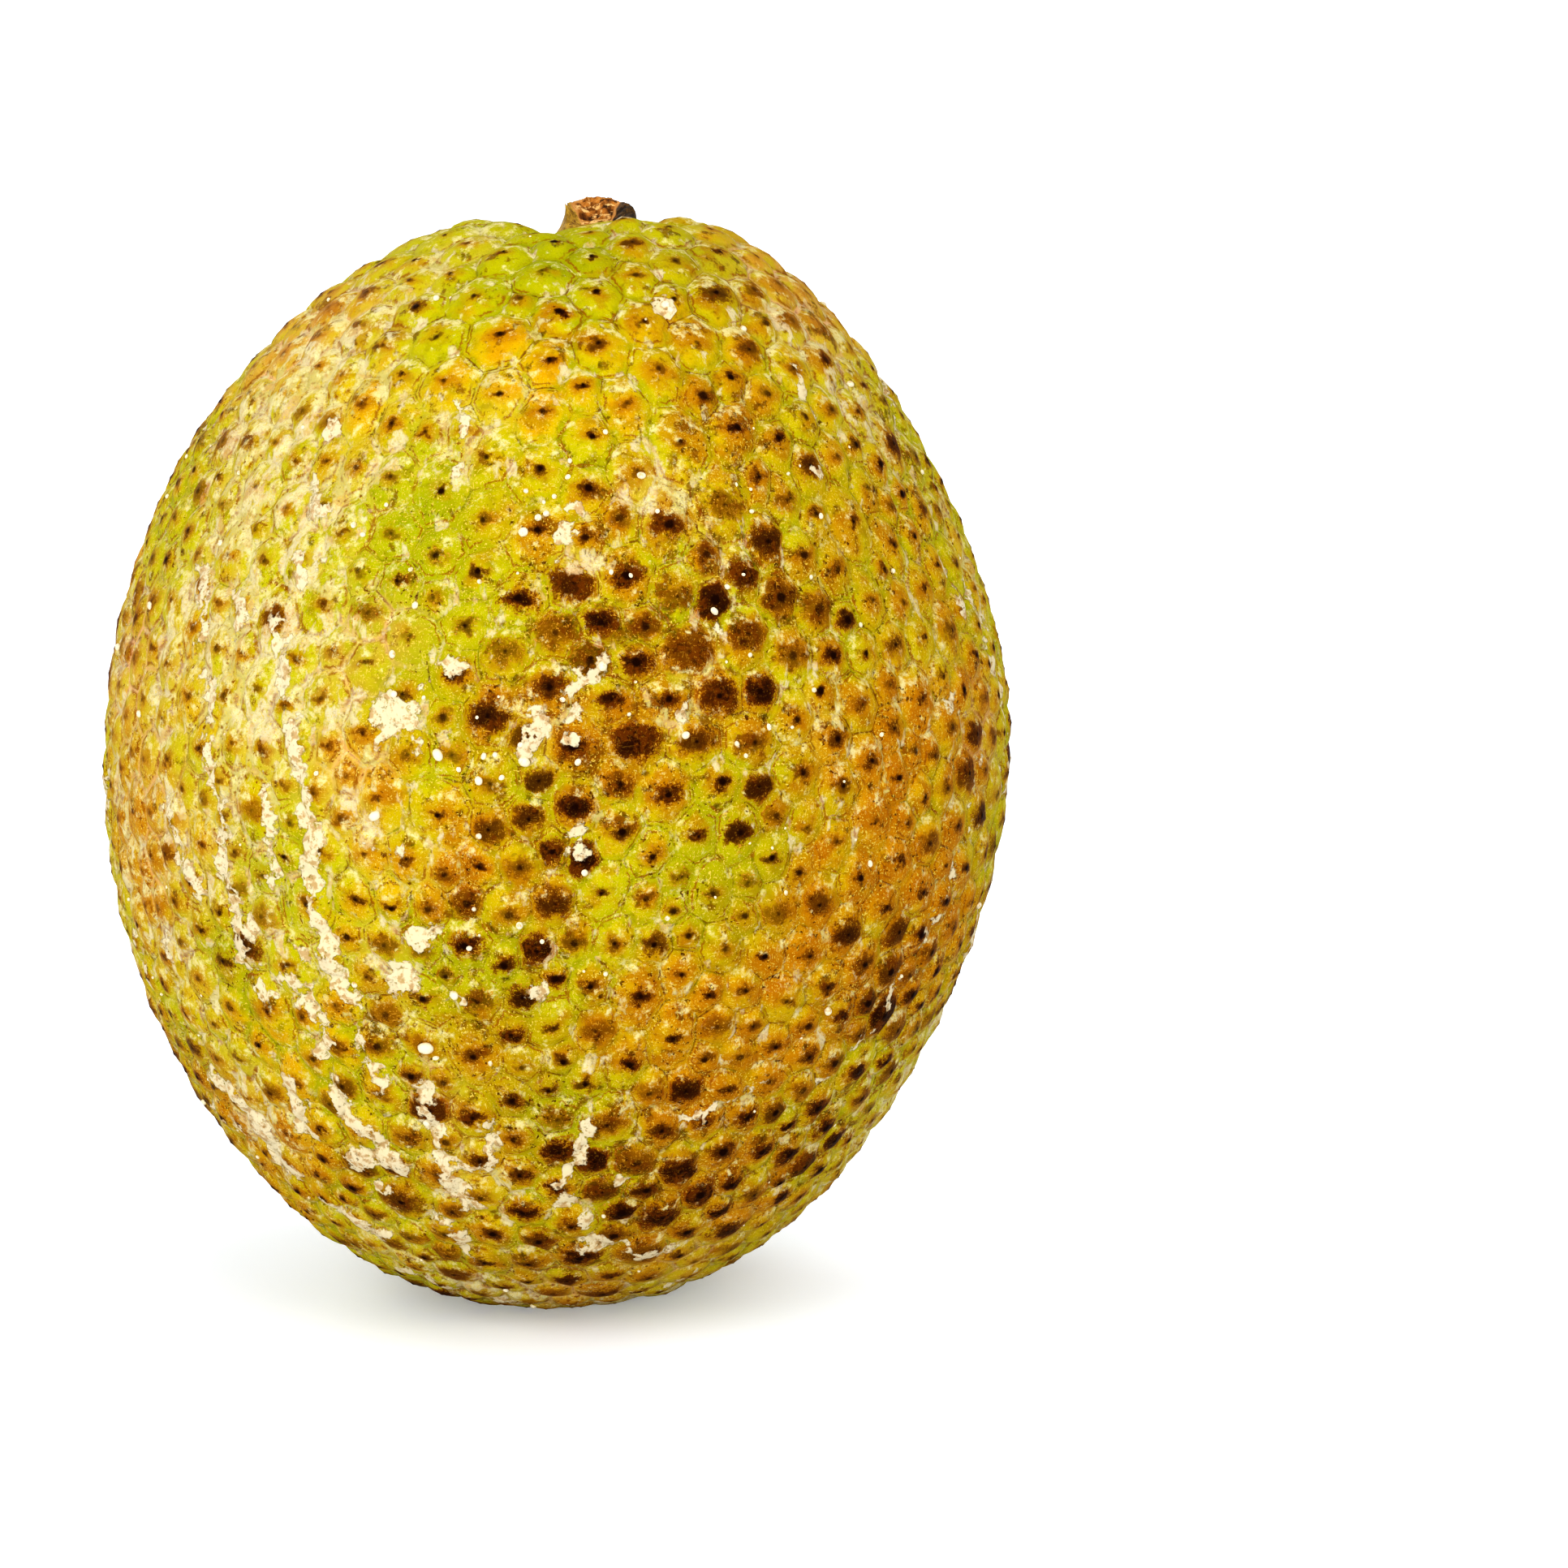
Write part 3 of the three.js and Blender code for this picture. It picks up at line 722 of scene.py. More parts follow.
def makeCrust():  # a ragged mask: where a smooth field, roughened by grain, is above zero
    group, given, made = newGroup(
        "crust",
        [("Vector", "NodeSocketVector", None), ("Field", "NodeSocketFloat", 0.0),
         ("Scale", "NodeSocketFloat", 400.0), ("Roughness", "NodeSocketFloat", 0.7),
         ("Edge", "NodeSocketFloat", 0.02)],
        [("Mask", "NodeSocketFloat")],
    )
    inputs = {"Vector": given.outputs["Vector"], "Scale": given.outputs["Scale"], "Detail": 5.0,
              "Roughness": given.outputs["Roughness"]}
    rough = place(group, "ShaderNodeTexNoise", inputs).outputs["Fac"]
    total = maths(group, "ADD", maths(group, "SUBTRACT", rough, 0.5), given.outputs["Field"])
    low = maths(group, "MULTIPLY", given.outputs["Edge"], -1)
    group.links.new(between(group, total, low, given.outputs["Edge"]), made.inputs["Mask"])
    return group


crustGroup = makeCrust()


def crust(tree, where, field, size, rough=0.7, edge=0.02):  # size of the coarsest grain in mm
    inputs = {"Vector": where, "Field": field, "Scale": 1000 / size, "Roughness": rough,
              "Edge": edge}
    return place(tree, "ShaderNodeGroup", inputs, node_tree=crustGroup).outputs["Mask"]


skinColours = {
    "lime": "#b3ab02", "olive": "#7f7202", "golden": "#cba002", "suede": "#9a5c03",
    "halo": "#a66c04", "stain": "#6b3802", "darkStain": "#290f02", "tip": "#220b02",
    "greenLine": "#7f7a04", "brownLine": "#6c3608", "rustLine": "#8a4e08", "paleBand": "#c9bc48",
    "blushLine": "#dcae84", "wash": "#cfc2a0", "washGreen": "#bfb474", "washTan": "#c29c62",
    "latex": "#d8caa8", "latexOld": "#b08a58", "fleckAndGlint": "#cbb350", "warmFleck": "#b98a2c",
    "freshGreen": "#8c9602", "crumb": "#4a2203", "dustAndSheen": "#d8ce98", "film": "#bf9f55",
    "tan": "#cb9a50", "orange": "#b67c02", "band": "#a9a204", "rust": "#b97a06",
}
skinFinish = {
    # sizes of the grain, in mm
    "broad": 9, "middling": 2.4, "fine": 0.9, "speck": 0.36, "streaks": 3.6, "fibres": 0.30,
    "ragged": 2.1, "patches": 2.8, "suede": 4.5, "wash": 3.0, "dustAndSheen": 2.2, "latex": 2.2,
    "raggedness": 3.6,  # mm, how far a stain strays from round
    "crown": (0.135, 0.166),  # metres up
    "washCover": 0.82, "latexCover": 0.92,
    "roughness": (0.42, 0.72),  # of bare skin and of dried latex
    "specular": 0.02,
    "bumpStrength": 0.9,
    "bumpDepth": 0.22,  # mm
}


def makeSkinMaterial(colours, finish):
    material, tree = newMaterial("breadfruit_skin")
    where = objectPlace(tree)
    paint = painter(tree, colours)
    ground = "lime"

    def times(*values):
        return chain(tree, "MULTIPLY", *values)

    def plus(*values):
        return chain(tree, "ADD", *values)

    def minus(a, b, clamp=False):
        return maths(tree, "SUBTRACT", a, b, clamp)

    def ramp(value, start, end, low=0.0, high=1.0):
        return between(tree, value, start, end, low, high)

    def cover(share, over):
        nonlocal ground
        ground = paint(share, ground, over)

    def vector(operation, inputs, output=0):
        return place(tree, "ShaderNodeVectorMath", inputs, operation=operation).outputs[output]

    zones = attribute(tree, "zones", "Color")
    gold, brown, wash = place(tree, "ShaderNodeSeparateColor", {0: zones}).outputs
    green = attribute(tree, "zones", "Alpha")
    draws = attribute(tree, "areoleDraw", "Color")
    stainReach, stainStrength, hue = place(tree, "ShaderNodeSeparateColor", {0: draws}).outputs
    lineDraw = attribute(tree, "areoleDraw", "Alpha")
    fromBorder, blush, rust = (attribute(tree, name) for name in ("fromBorder", "blush", "rust"))
    inAreole = attribute(tree, "inAreole", "Vector")
    stainStrength = times(stainStrength, ramp(blush, 0.1, 0.9, 1.0, 0.4))

    # grain from broad to fine
    broad = grain(tree, where, finish["broad"], 2, 0.5)
    middling = grain(tree, where, finish["middling"], 2, 0.5)
    fine = grain(tree, where, finish["fine"], 2, 0.55)
    speck = grain(tree, where, finish["speck"], 1, 0.5)
    downward = vector("MULTIPLY", {0: where, 1: (1, 1, 0.5)})
    streaks = vector("MULTIPLY", {0: where, 1: (1, 1, 0.2)})
    streaks = grain(tree, streaks, finish["streaks"], 2, 0.55)

    # short fibres in three directions
    fibres = []
    for k, (x, z) in enumerate(((0.3, 1.2), (1.2, 0.35), (1.0, 0.8))):
        turned = vector("MULTIPLY", {0: where, 1: (x, 1, z)})
        turned = vector("ADD", {0: turned, 1: (0.3 * k, 0.7 * k, 0.1 * k)})
        fibres.append(grain(tree, turned, finish["fibres"], 1, 0.5, 0.4))
    fibres = chain(tree, "MAXIMUM", *fibres)

    # ragged distance from the areole's tip, in mm
    bend = grain(tree, where, finish["ragged"], 2, 0.5, colour=True)
    bend = vector("SUBTRACT", {0: bend, 1: (0.5, 0.5, 0.5)})
    bend = vector("SCALE", {0: bend, "Scale": finish["raggedness"]})
    bent = vector("ADD", {0: inAreole, 1: bend})
    fromTip = vector("LENGTH", {0: vector("MULTIPLY", {0: bent, 1: (0.82, 1.2, 0)})}, "Value")
    trueTip = vector("LENGTH", {0: vector("MULTIPLY", {0: inAreole, 1: (1, 1, 0)})}, "Value")

    # ground colour, fresher and plainer at the crown
    height = place(tree, "ShaderNodeSeparateXYZ", {0: where}).outputs[2]
    crown = ramp(height, *finish["crown"])
    goldShare = plus(times(gold, 0.75), times(hue, 0.28), times(minus(broad, 0.58), 2.0))
    goldShare = minus(goldShare, times(green, 0.5), True)
    cover(goldShare, "golden")
    cover(times(ramp(middling, 0.5, 0.68, 0, 0.6), ramp(crown, 0, 1, 1, 0.45)), "olive")
    cover(times(green, ramp(broad, 0.3, 0.6, 0.3, 0.9)), "freshGreen")
    valley = times(ramp(fromBorder, 1.4, 0.2), ramp(middling, 0.40, 0.6, 0.15, 0.7))
    cover(valley, paint(ramp(wash, 0.1, 0.4), "freshGreen", "paleBand"))
    cover(times(ramp(wash, 0.1, 0.9), ramp(streaks, 0.42, 0.58, 0.0, 0.45)), "film")
    cover(times(blush, ramp(middling, 0.35, 0.6, 0.3, 0.75)), "tan")
    cover(times(rust, ramp(broad, 0.34, 0.6, 0.35, 0.9)), "rust")

    # brownish suede
    inside = ramp(fromBorder, 0.2, 2.4)
    suedeField = plus(times(goldShare, 0.09), times(brown, 0.12), times(inside, 0.08))
    suedeField = minus(suedeField, plus(times(green, 0.07), times(wash, 0.05)))
    suede = crust(tree, where, minus(suedeField, 0.13), finish["suede"], 0.6, 0.08)
    darker = ramp(plus(brown, rust), 0.1, 0.5)
    cover(times(suede, ramp(darker, 0, 1, 0.36, 0.54)), paint(darker, "orange", "suede"))

    # a stain that darkens towards the tip: halo, stippled rim, dark heart
    nearness = minus(1.0, maths(tree, "DIVIDE", fromTip, stainReach))
    nearness = minus(nearness, ramp(fromBorder, 1.1, 0.0, 0.0, 0.5))
    stipple = plus(times(minus(speck, 0.5), 1.5), times(minus(fine, 0.5), 0.8))
    rough = plus(nearness, times(stipple, ramp(nearness, 0.7, 0.1, 0.12, 1.0)))
    halo = ramp(maths(tree, "DIVIDE", fromTip, plus(stainReach, 1.5)), 1.05, 0.3)
    halo = times(halo, ramp(green, 0.2, 0.9, 1.0, 0.4))
    cover(times(halo, ramp(hue, 0.1, 0.8, 0.3, 0.75)), "halo")
    mottled = plus(wash, blush, plus(rust, times(crown, 0.3)))
    cover(times(
        ramp(fromBorder, 1.5, 0.4), ramp(middling, 0.36, 0.54, 0.25, 0.9),
        ramp(mottled, 0.1, 0.8, 0.7, 0.1), ramp(gold, 0.2, 0.9, 1.0, 0.6)), "band")
    cover(times(ramp(rough, -0.08, 0.34), stainStrength), "stain")
    heart = times(ramp(plus(nearness, times(stipple, 0.3)), 0.10, 0.68, 0, 0.94), stainStrength)
    pale = ramp(plus(wash, blush), 0.1, 0.8)
    cover(heart, paint(times(pale, 0.7), "darkStain", "stain"))

    # brown patches that pay no heed to the areoles
    patchField = minus(plus(times(brown, 0.11), times(inside, 0.04)), 0.155)
    patch = crust(tree, where, patchField, finish["patches"], 0.62, 0.05)
    cover(times(patch, 0.7), paint(ramp(fine, 0.36, 0.52), "darkStain", "stain"))

    # borders: thin, broken, green or brown, partly painted shade in the creases, and wide and pale
    # where the skin blushes
    wobble = times(minus(fine, 0.5), 0.6)
    nearBorder = plus(fromBorder, wobble)
    lineField = plus(grain(tree, where, 3.4, 2), times(crown, 0.03))
    line = times(ramp(nearBorder, 0.24, 0.02), ramp(lineField, 0.46, 0.62, 0.05, 0.8))
    lineTone = plus(
        times(lineDraw, 0.6), times(plus(brown, gold), 0.3), times(crown, 0.2), times(broad, 0.6))
    cover(line, paint(ramp(lineTone, 0.6, 0.85), "greenLine", "brownLine"))
    cover(times(ramp(nearBorder, 0.6, 0.15), blush, 0.85), "blushLine")
    ringAt = plus(0.55, times(minus(broad, 0.5), 2.0))
    ring = maths(tree, "ABSOLUTE", minus(plus(nearBorder, times(wobble, 0.6)), ringAt))
    ring = ramp(ring, plus(0.24, times(pale, 0.22)), 0.03)
    ring = times(ring, ramp(grain(tree, where, 4.0, 2), 0.47, 0.58, 0.08, 0.8))
    cover(ring, "rustLine")

    # cream wash, run downwards and full of holes; along the left edge it also paints a pale rim, a
    # painted reflection
    washField = plus(
        times(wash, 0.158), ramp(fromBorder, 1.3, 0.1, 0.0, 0.045),
        times(minus(streaks, 0.5), wash, 0.75))
    washField = minus(washField, ramp(fromTip, 2.5, 0.8, 0.0, 0.15))
    holes = plus(times(fine, 0.6), times(speck, 0.4))
    washMask = crust(tree, downward, minus(washField, 0.155), finish["wash"], 0.58, 0.04)
    washMask = times(washMask, ramp(holes, 0.36, 0.48, 0.6, 1))
    washColour = paint(ramp(broad, 0.48, 0.62), "wash", "washGreen")
    washColour = paint(ramp(middling, 0.5, 0.62, 0, 0.7), washColour, "washTan")
    washShare = times(washMask, finish["washCover"])
    cover(washShare, washColour)
    cover(times(halo, halo, times(washShare, 0.6)), "rust")
    cover(times(ring, times(washShare, 0.85)), "rustLine")

    # cream dust, and a painted highlight on the upper slopes of each areole
    upSlope = ramp(place(tree, "ShaderNodeSeparateXYZ", {0: bent}).outputs[1], 0.4, 2.6)
    dustAndSheenField = plus(times(upSlope, plus(times(crown, 0.05), 0.045)), times(wash, 0.08))
    dustAndSheenField = minus(dustAndSheenField, times(heart, 0.2))
    dustAndSheen = crust(tree, where, minus(dustAndSheenField, 0.14), finish["dustAndSheen"], 0.72, 0.08)
    cover(times(dustAndSheen, 0.8), "dustAndSheen")

    # crumbs, dark and pale, pale fibres, and pale specks that are partly painted glints
    clear = times(ramp(heart, 0.2, 0.8, 1.0, 0.2), ramp(crown, 0, 1, 1, 0.2))
    crumb = times(
        ramp(fine, 0.39, 0.31), ramp(broad, 0.42, 0.62, 0.3, 0.9),
        minus(1.0, times(washShare, 0.5)), ramp(crown, 0, 1, 1, 0.4))
    cover(crumb, paint(times(pale, 0.8), "crumb", "rustLine"))
    fleckAndGlintColour = paint(ramp(rough, -0.3, 0.1), "fleckAndGlint", "warmFleck")
    cover(times(ramp(speck, 0.60, 0.68), ramp(middling, 0.44, 0.58, 0.2, 1.0), clear), fleckAndGlintColour)
    fibre = times(ramp(fibres, 0.65, 0.70), ramp(middling, 0.56, 0.44, 0.15, 0.9))
    cover(times(fibre, clear), fleckAndGlintColour)

    # the dark tip
    tipEdge = minus(attribute(tree, "tipSize"), plus(trueTip, times(wobble, 0.9)))
    tip = times(
        ramp(tipEdge, -0.4, 0.15), ramp(stainStrength, 0.3, 0.7, 0.6, 1.0),
        ramp(pale, 0, 1, 1, 0.65))
    cover(tip, "tip")

    # latex, with ragged edges and old, brownish places
    latexField = times(attribute(tree, "latex"), 0.16)
    latexMask = crust(tree, where, latexField, finish["latex"], 0.56, 0.03)
    latexMask = times(latexMask, ramp(holes, 0.34, 0.42, 0.45, 1))
    old = ramp(grain(tree, where, 1.3, 3, 0.6), 0.49, 0.64, 0, 0.8)
    cover(times(latexMask, finish["latexCover"]), paint(old, "latex", "latexOld"))

    # relief too fine for the mesh
    bare = minus(1.0, times(latexMask, 0.8))
    bumps = plus(times(plus(times(fine, 0.9), times(speck, 0.35)), bare), times(middling, 0.6))
    bumps = plus(
        minus(bumps, times(line, 0.35)), times(tip, 0.4), times(latexMask, 1.4),
        times(washMask, 0.5))
    covered = maths(tree, "MAXIMUM", latexMask, times(washShare, 0.7))
    finishMaterial(tree, {
        "Base Color": ground, "Specular IOR Level": finish["specular"],
        "Roughness": plus(ramp(covered, 0, 1, *finish["roughness"]), times(speck, 0.12)),
        "Normal": relief(tree, bumps, finish["bumpStrength"], finish["bumpDepth"])})
    return material


skin.data.materials.append(makeSkinMaterial(skinColours, skinFinish))
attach(skin, "root")
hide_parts("fruit")
print("skin material made")


# Beads of dried latex that stand on the skin.

beadSettings = {
    "placed": [  # pixel x and y, radius in mm
        (540, 930, 0.95), (462, 1005, 0.9), (390, 953, 0.45), (525, 1291, 1.1), (537, 1303, 0.5),
        (663, 638, 0.6), (673, 633, 0.55), (645, 656, 0.8), (683, 612, 0.4), (670, 619, 0.35),
        (790, 586, 0.65), (742, 821, 0.75), (880, 753, 0.6), (896, 723, 0.42), (924, 807, 0.4),
        (845, 906, 0.7), (775, 880, 0.35), (908, 917, 0.45), (947, 896, 0.5), (919, 931, 0.4),
        (646, 938, 0.9), (712, 939, 0.5), (783, 840, 0.3), (693, 862, 0.45), (753, 705, 0.4),
        (777, 709, 0.35), (916, 708, 0.3), (999, 711, 0.35), (1011, 636, 0.45), (971, 584, 0.35),
        (907, 597, 0.3), (925, 603, 0.3), (810, 630, 0.4), (702, 568, 0.45), (648, 605, 0.4),
        (590, 962, 0.7), (596, 932, 0.5), (618, 958, 0.45), (640, 1140, 0.6), (590, 1030, 0.5),
        (560, 1226, 0.8), (700, 588, 0.5), (610, 930, 0.4), (565, 948, 0.4), (476, 622, 0.35),
        (720, 1075, 0.6), (668, 1160, 0.4), (746, 1200, 0.4), (1020, 1246, 0.6), (968, 1100, 0.4),
        (1086, 905, 0.4), (1060, 770, 0.4), (820, 376, 0.7), (826, 382, 0.5), (584, 1120, 0.4),
        (436, 647, 0.5), (512, 746, 0.6), (484, 806, 0.6), (506, 702, 0.4), (604, 1310, 0.4),
    ],
    "scattered": 190,
    "radius": (0.22, 0.62),  # mm
    "seed": 23,
    "flatness": 0.72,
    "sunk": 0.55,  # share of the radius
    "colour": "#e4d9ba",
    "stained": "#c9a870",
    "roughness": (0.34, 0.6),
    "bumpDepth": 0.08,  # mm
}


def fineSurface(item):
    mesh = item.data
    mesh.calc_loop_triangles()
    corners = [tuple(t.vertices) for t in mesh.loop_triangles]
    return BVHTree.FromPolygons([v.co.copy() for v in mesh.vertices], corners)


def makeBeads(settings, surface):
    draw = random.Random(settings["seed"])
    places = [(throughPixel(x, y, surface), radius * mm) for x, y, radius in settings["placed"]]
    while len(places) < len(settings["placed"]) + settings["scattered"]:
        spot = onSkin(*anyDirection(draw), surface)
        low, high = settings["radius"]
        places.append((spot, (low + (high - low) * draw.random() ** 2) * mm))
    made = bmesh.new()
    for spot, radius in places:
        outward = surface.find_nearest(spot)[1]
        turn = outward.to_track_quat("Z", "Y").to_matrix()
        long, wide = draw.uniform(0.95, 1.2), draw.uniform(0.82, 1.0)
        spin, bump = draw.uniform(0, math.tau), draw.random()
        vertices = bmesh.ops.create_icosphere(made, subdivisions=2, radius=1)["verts"]
        for vertex in vertices:
            x, y, z = vertex.co
            swell = 1 + 0.12 * noise.noise(Vector((x, y, z)) * 1.6 + Vector((bump * 50, 0, 0)))
            x, y, z = x * long * swell, y * wide * swell, z * settings["flatness"] * swell
            cos, sin = math.cos(spin), math.sin(spin)
            x, y = x * cos - y * sin, x * sin + y * cos
            z += settings["flatness"] - settings["sunk"]
            vertex.co = spot + turn @ Vector((x, y, z)) * radius
    mesh = bpy.data.meshes.new("latex_beads")
    made.to_mesh(mesh)
    made.free()
    shadeSmooth(mesh)
    print("beads:", len(places), "with", len(mesh.polygons), "triangles")
    return addObject("latex_beads", mesh)


def makeBeadMaterial(settings):
    material, tree = newMaterial("dried_latex")
    where = objectPlace(tree)
    stained = crust(tree, where, -0.09, 1.4, 0.7, 0.06)
    finishMaterial(tree, {
        "Base Color": blend(tree, stained, settings["colour"], settings["stained"]),
        "Roughness": between(tree, grain(tree, where, 0.8, 2), 0.35, 0.65, *settings["roughness"]),
        "Specular IOR Level": 0.35,
        "Normal": relief(tree, grain(tree, where, 0.5, 3, 0.6), 0.5, settings["bumpDepth"])})
    return material


beads = makeBeads(beadSettings, fineSurface(skin))
beads.data.materials.append(makeBeadMaterial(beadSettings))
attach(beads, "root")
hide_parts("fruit")


# The stub of the stalk: bark at its sides, crumbly fibre where it broke.

stalkSettings = {
    "voxel": 0.24,  # mm
    "smoothing": 10,
    "crumbs": 0.42,  # mm, how far the break is broken up
    "pits": 0.75,  # mm
    "ribs": 0.09,  # mm
    "axis": (7.4, 1.0),  # mm
    "breakFaces": (0.05, -0.5, 0.86),
    "coreMiddle": (7.6, 0.4),  # mm, the middle of the crumbly core, seen from above
    "coreReach": (4.4, 7.6),  # mm
    "coreFoot": 169,  # mm up, where the core is narrowest
    "coreRise": 6.5,  # mm from there to its full width
    "breakHeights": (0.166, 0.169),  # metres up, between which the break begins
    "pulls": [  # x, z, radius, then how far sideways and up, all in mm
        (1.6, 174.2, 2.8, 1.2, 0), (3.3, 175.8, 2.0, -0.6, 0.8), (5.0, 176.8, 1.1, 0.1, -0.6),
        (8.6, 176.5, 2.0, 0, 0.6), (13.2, 173.8, 2.6, 0.5, 0.9),
    ],
}
stalkColours = {
    "olive": "#8a680c", "straw": "#bf9934", "black": "#241605", "umber": "#5c3f0e",
    "scar": "#6a3d12", "core": "#6e3f0c", "fibre": "#ba7c32", "crumb": "#e6bd7c",
    "darkSpots": "#462503", "rim": "#d29a58",
}
stalkFinish = {
    "roughness": (0.5, 0.85),  # of the bark and of the break
    "specular": 0.25,
    "bumpStrength": 0.9,
    "bumpDepth": 0.25,  # mm
}


def makeStalk(settings):
    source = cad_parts["stalk"]
    stalk = addObject("stalk_stub", source.data.copy())
    remesh = stalk.modifiers.new("remesh", "REMESH")
    remesh.mode = "VOXEL"
    remesh.voxel_size = settings["voxel"] * mm
    smooth = stalk.modifiers.new("smooth", "SMOOTH")
    smooth.factor = 0.5
    smooth.iterations = settings["smoothing"]
    depsgraph = bpy.context.evaluated_depsgraph_get()
    shape = bpy.data.meshes.new_from_object(stalk.evaluated_get(depsgraph))
    stalk.modifiers.clear()
    stalk.data = shape
    shape.materials.clear()
    shape.name = "stalk_stub"
    count = len(shape.vertices)
    points, normals = np.empty(count * 3), np.empty(count * 3)
    shape.vertices.foreach_get("co", points)
    shape.vertices.foreach_get("normal", normals)
    points, normals = points.reshape(-1, 3), normals.reshape(-1, 3)
    axis = np.array(settings["axis"]) * mm
    for x, z, radius, sideways, upward in settings["pulls"]:
        away = np.hypot(points[:, 0] - x * mm, points[:, 2] - z * mm)
        near = np.exp(-(away / (radius * mm)) ** 2)
        points[:, 0] += near * sideways * mm
        points[:, 2] += near * upward * mm
    ragged = noiseAt(points, 1.8 * mm, 11)
    facing = np.array(settings["breakFaces"])
    broken = normals @ (facing / np.linalg.norm(facing)) + 0.25 * ragged
    broken = soft(broken, 0.5, 0.7) * soft(points[:, 2], *settings["breakHeights"])
    fromCore = (points[:, :2] / mm - settings["coreMiddle"]) / settings["coreReach"]
    up = (points[:, 2] / mm - settings["coreFoot"]) / settings["coreRise"]
    fromCore[:, 0] /= np.clip(up, 0.3, 1)
    broken *= soft(np.linalg.norm(fromCore, axis=1) + 0.12 * ragged, 1.06, 0.86)
    around = np.arctan2(points[:, 1] - axis[1], points[:, 0] - axis[0])
    crumbs = noiseAt(points, 1.5 * mm, 12) + 0.6 * noiseAt(points, 0.7 * mm, 13)
    pits = np.minimum(noiseAt(points, 2.2 * mm, 14) + 0.1, 0)
    ribs = np.sin(around * 14 + 3 * ragged) * 0.6 + noiseAt(points, 2.5 * mm, 15)
    rise = broken * (crumbs * settings["crumbs"] + pits * settings["pits"])
    rise += (1 - broken) * ribs * settings["ribs"]
    points = points + normals * (rise * mm)[:, None]
    shape.vertices.foreach_set("co", points.ravel())
    dark = soft(np.cos(around - 0.1) + 0.35 * noiseAt(points, 4 * mm, 16), -0.1, 0.6)
    for name, values in (("broken", broken), ("dark", dark)):
        attribute = shape.attributes.new(name, "FLOAT", "POINT")
        attribute.data.foreach_set("value", values.astype(np.float32))
    shadeSmooth(shape)
    shape.update()
    print("stalk:", count, "points")
    return stalk


def makeStalkMaterial(colours, finish):
    material, tree = newMaterial("stalk_bark")
    where = objectPlace(tree)
    broken, dark = attribute(tree, "broken"), attribute(tree, "dark")
    middling = grain(tree, where, 1.3, 3, 0.55)
    fine = grain(tree, where, 0.4, 3, 0.7)
    squeezed = {0: where, 1: (1, 1, 0.2)}
    along = place(tree, "ShaderNodeVectorMath", squeezed, operation="MULTIPLY").outputs[0]
    streaks = grain(tree, along, 0.8, 4, 0.65)
    paint = painter(tree, colours)
    bark = paint(between(tree, streaks, 0.38, 0.6), "olive", "straw")
    bark = paint(dark, bark, paint(between(tree, streaks, 0.4, 0.6), "black", "umber"))
    bark = paint(crust(tree, where, -0.10, 1.6, 0.75, 0.02), bark, "scar")
    fibre = paint(between(tree, middling, 0.36, 0.62), "core", "fibre")
    # pale crumbs on the break, partly painted highlights
    fibre = paint(crust(tree, where, -0.07, 1.5, 0.6, 0.05), fibre, "crumb")
    # dark spots on the break, stretched up and down
    fibre = paint(crust(tree, along, -0.06, 1.5, 0.62, 0.05), fibre, "darkSpots")
    colour = paint(between(tree, broken, 0.25, 0.6), bark, fibre)
    rim = between(tree, broken, 0.05, 0.4), between(tree, broken, 1.0, 0.7)
    colour = paint(chain(tree, "MULTIPLY", *rim, 0.7), colour, "rim")
    height = maths(tree, "ADD", maths(tree, "MULTIPLY", fine, 0.6), middling)
    finishMaterial(tree, {
        "Base Color": colour, "Specular IOR Level": finish["specular"],
        "Roughness": between(tree, broken, 0.2, 0.8, *finish["roughness"]),
        "Normal": relief(tree, height, finish["bumpStrength"], finish["bumpDepth"])})
    return material


stalk = makeStalk(stalkSettings)
stalk.data.materials.append(makeStalkMaterial(stalkColours, stalkFinish))
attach(stalk, "root")
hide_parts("stalk")


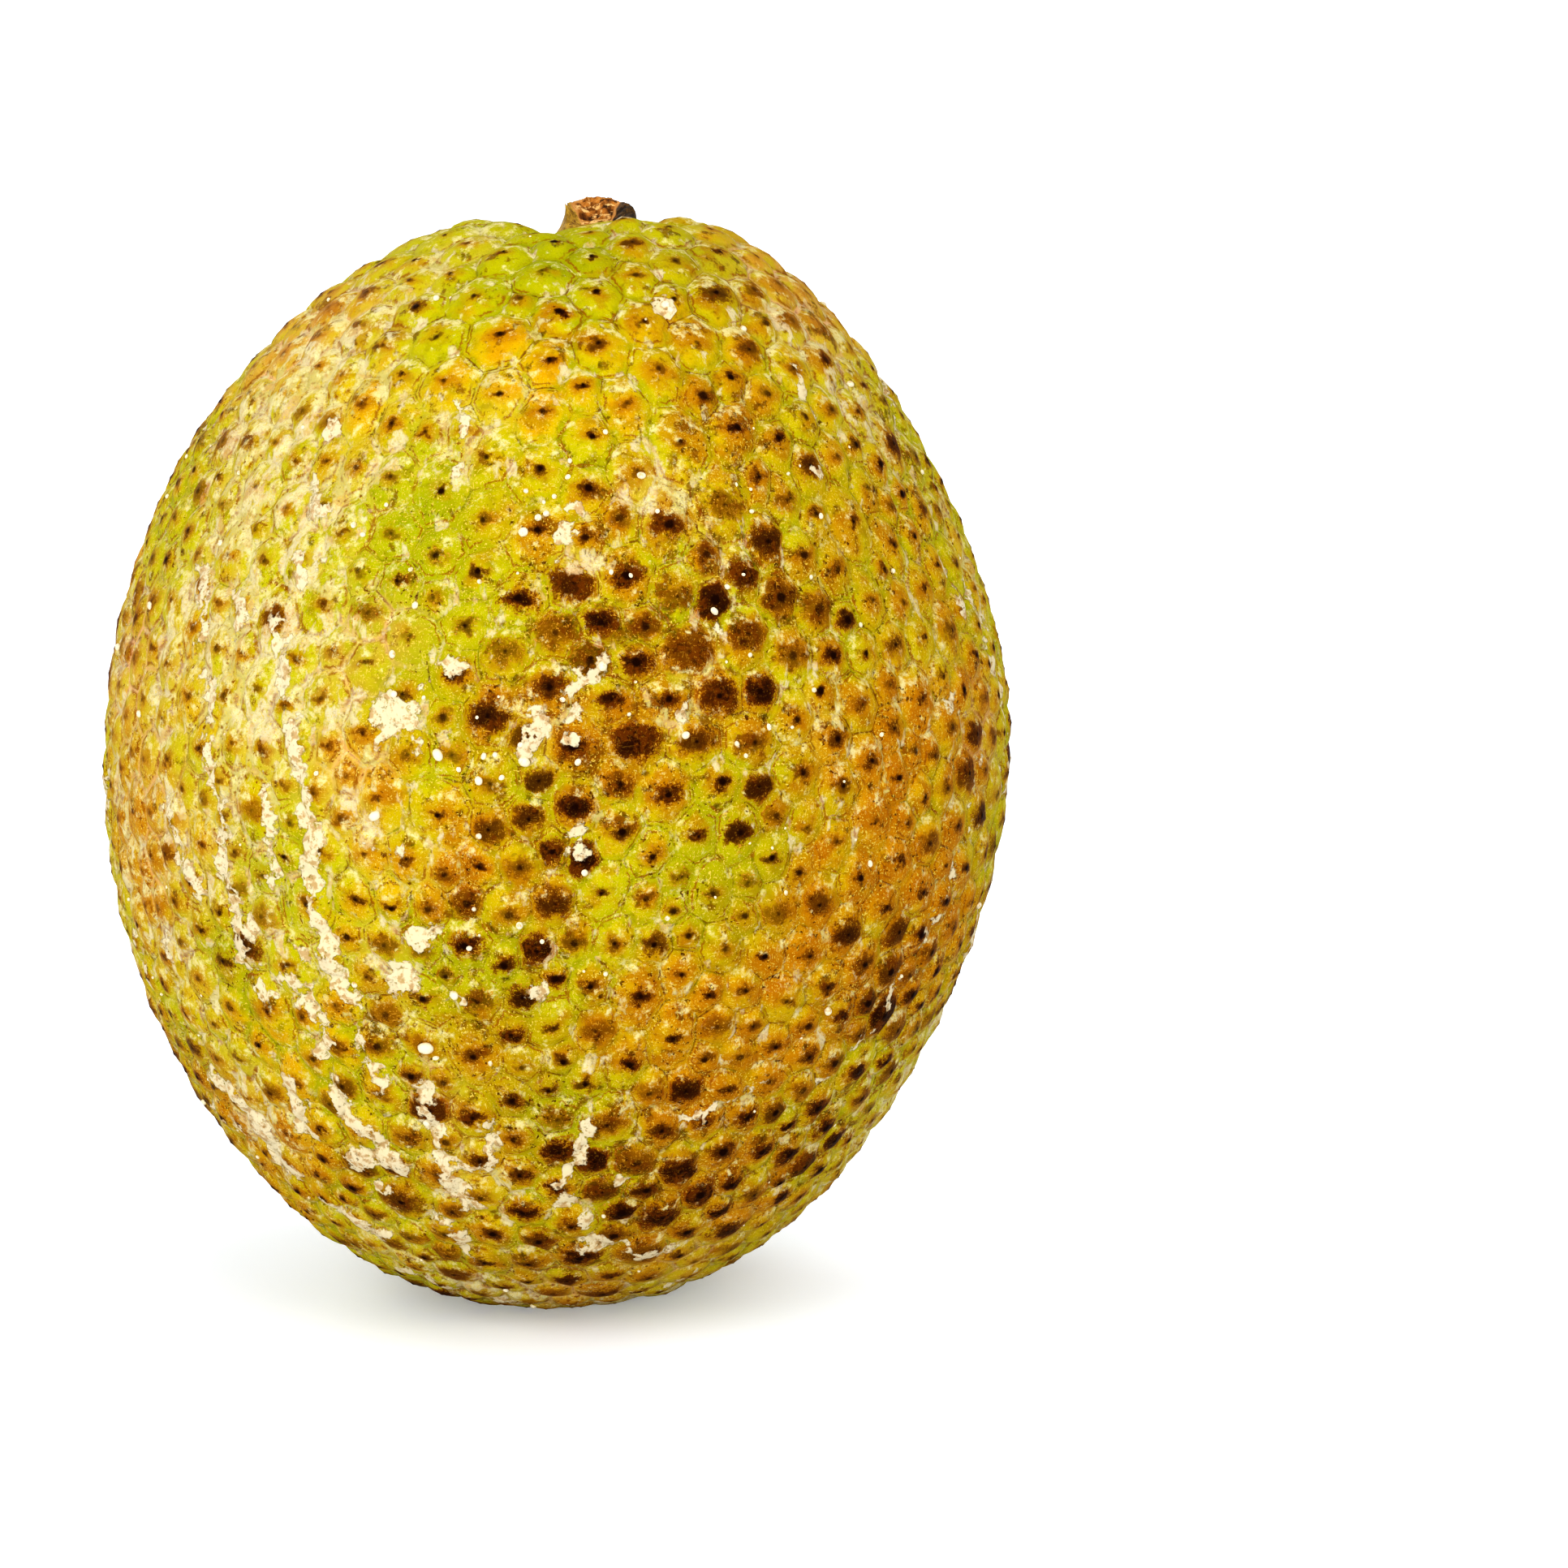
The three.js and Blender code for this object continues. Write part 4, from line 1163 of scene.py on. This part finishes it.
lightSettings = {
    "world": 0.46,
    "floorGlow": 0.22,  # what the light table under the fruit adds, seen by the camera alone
    "floorColour": (0.80, 0.85, 0.93, 1),
    "floorHalf": 8,  # metres from its middle to its edge
    "sky": {"from": (0.55, -0.3, 1.0), "spread": 80, "strength": 1.06},
    "key": {"at": (-1.1, -1.2, 1.1), "size": 1.0, "power": 7.5},
    "low": {"at": (-0.3, -1.3, 0.03), "size": 0.8, "power": 12},
    "fill": {"at": (1.3, -0.9, 0.2), "size": 1.0, "power": 1.2},
    "rear": {"at": (-0.9, 1.3, 0.9), "size": 0.9, "power": 5},
}


def makeFloor(settings):
    mesh = bpy.data.meshes.new("floor")
    half = settings["floorHalf"]
    corners = [(-half, -half, 0), (half, -half, 0), (half, half, 0), (-half, half, 0)]
    mesh.from_pydata(corners, [], [(0, 1, 2, 3)])
    material, tree = newMaterial("pale_floor")
    seen = place(tree, "ShaderNodeLightPath").outputs["Is Camera Ray"]
    finishMaterial(tree, {
        "Base Color": settings["floorColour"], "Roughness": 0.9, "Specular IOR Level": 0.1,
        "Emission Color": (1, 1, 1, 1),
        "Emission Strength": maths(tree, "MULTIPLY", seen, settings["floorGlow"])})
    mesh.materials.append(material)
    addObject("floor", mesh)


def makeWorld(strength):
    world = bpy.data.worlds.new("studio")
    world.use_nodes = True
    background = world.node_tree.nodes["Background"].inputs
    background["Color"].default_value = (1, 1, 1, 1)
    background["Strength"].default_value = strength
    scene.world = world


def makeLamps(settings):
    for name in ("key", "low", "fill", "rear"):
        data = bpy.data.lights.new(name, "AREA")
        data.shape = "DISK"
        data.size = settings[name]["size"]
        data.energy = settings[name]["power"]
        light = addObject(name, data)
        light.location = settings[name]["at"]
        turnTo(light, Vector((0, 0, cameraSettings["middleHeight"])) - light.location)


def makeSky(settings):  # one broad soft light that reaches the whole floor alike
    data = bpy.data.lights.new("sky", "SUN")
    data.angle = math.radians(settings["spread"])
    data.energy = settings["strength"]
    turnTo(addObject("sky", data), -Vector(settings["from"]))


makeFloor(lightSettings)
makeWorld(lightSettings["world"])
makeSky(lightSettings["sky"])
makeLamps(lightSettings)
scene.view_settings.view_transform = "Standard"
scene.view_settings.look = "High Contrast"
print("floor and lights made")
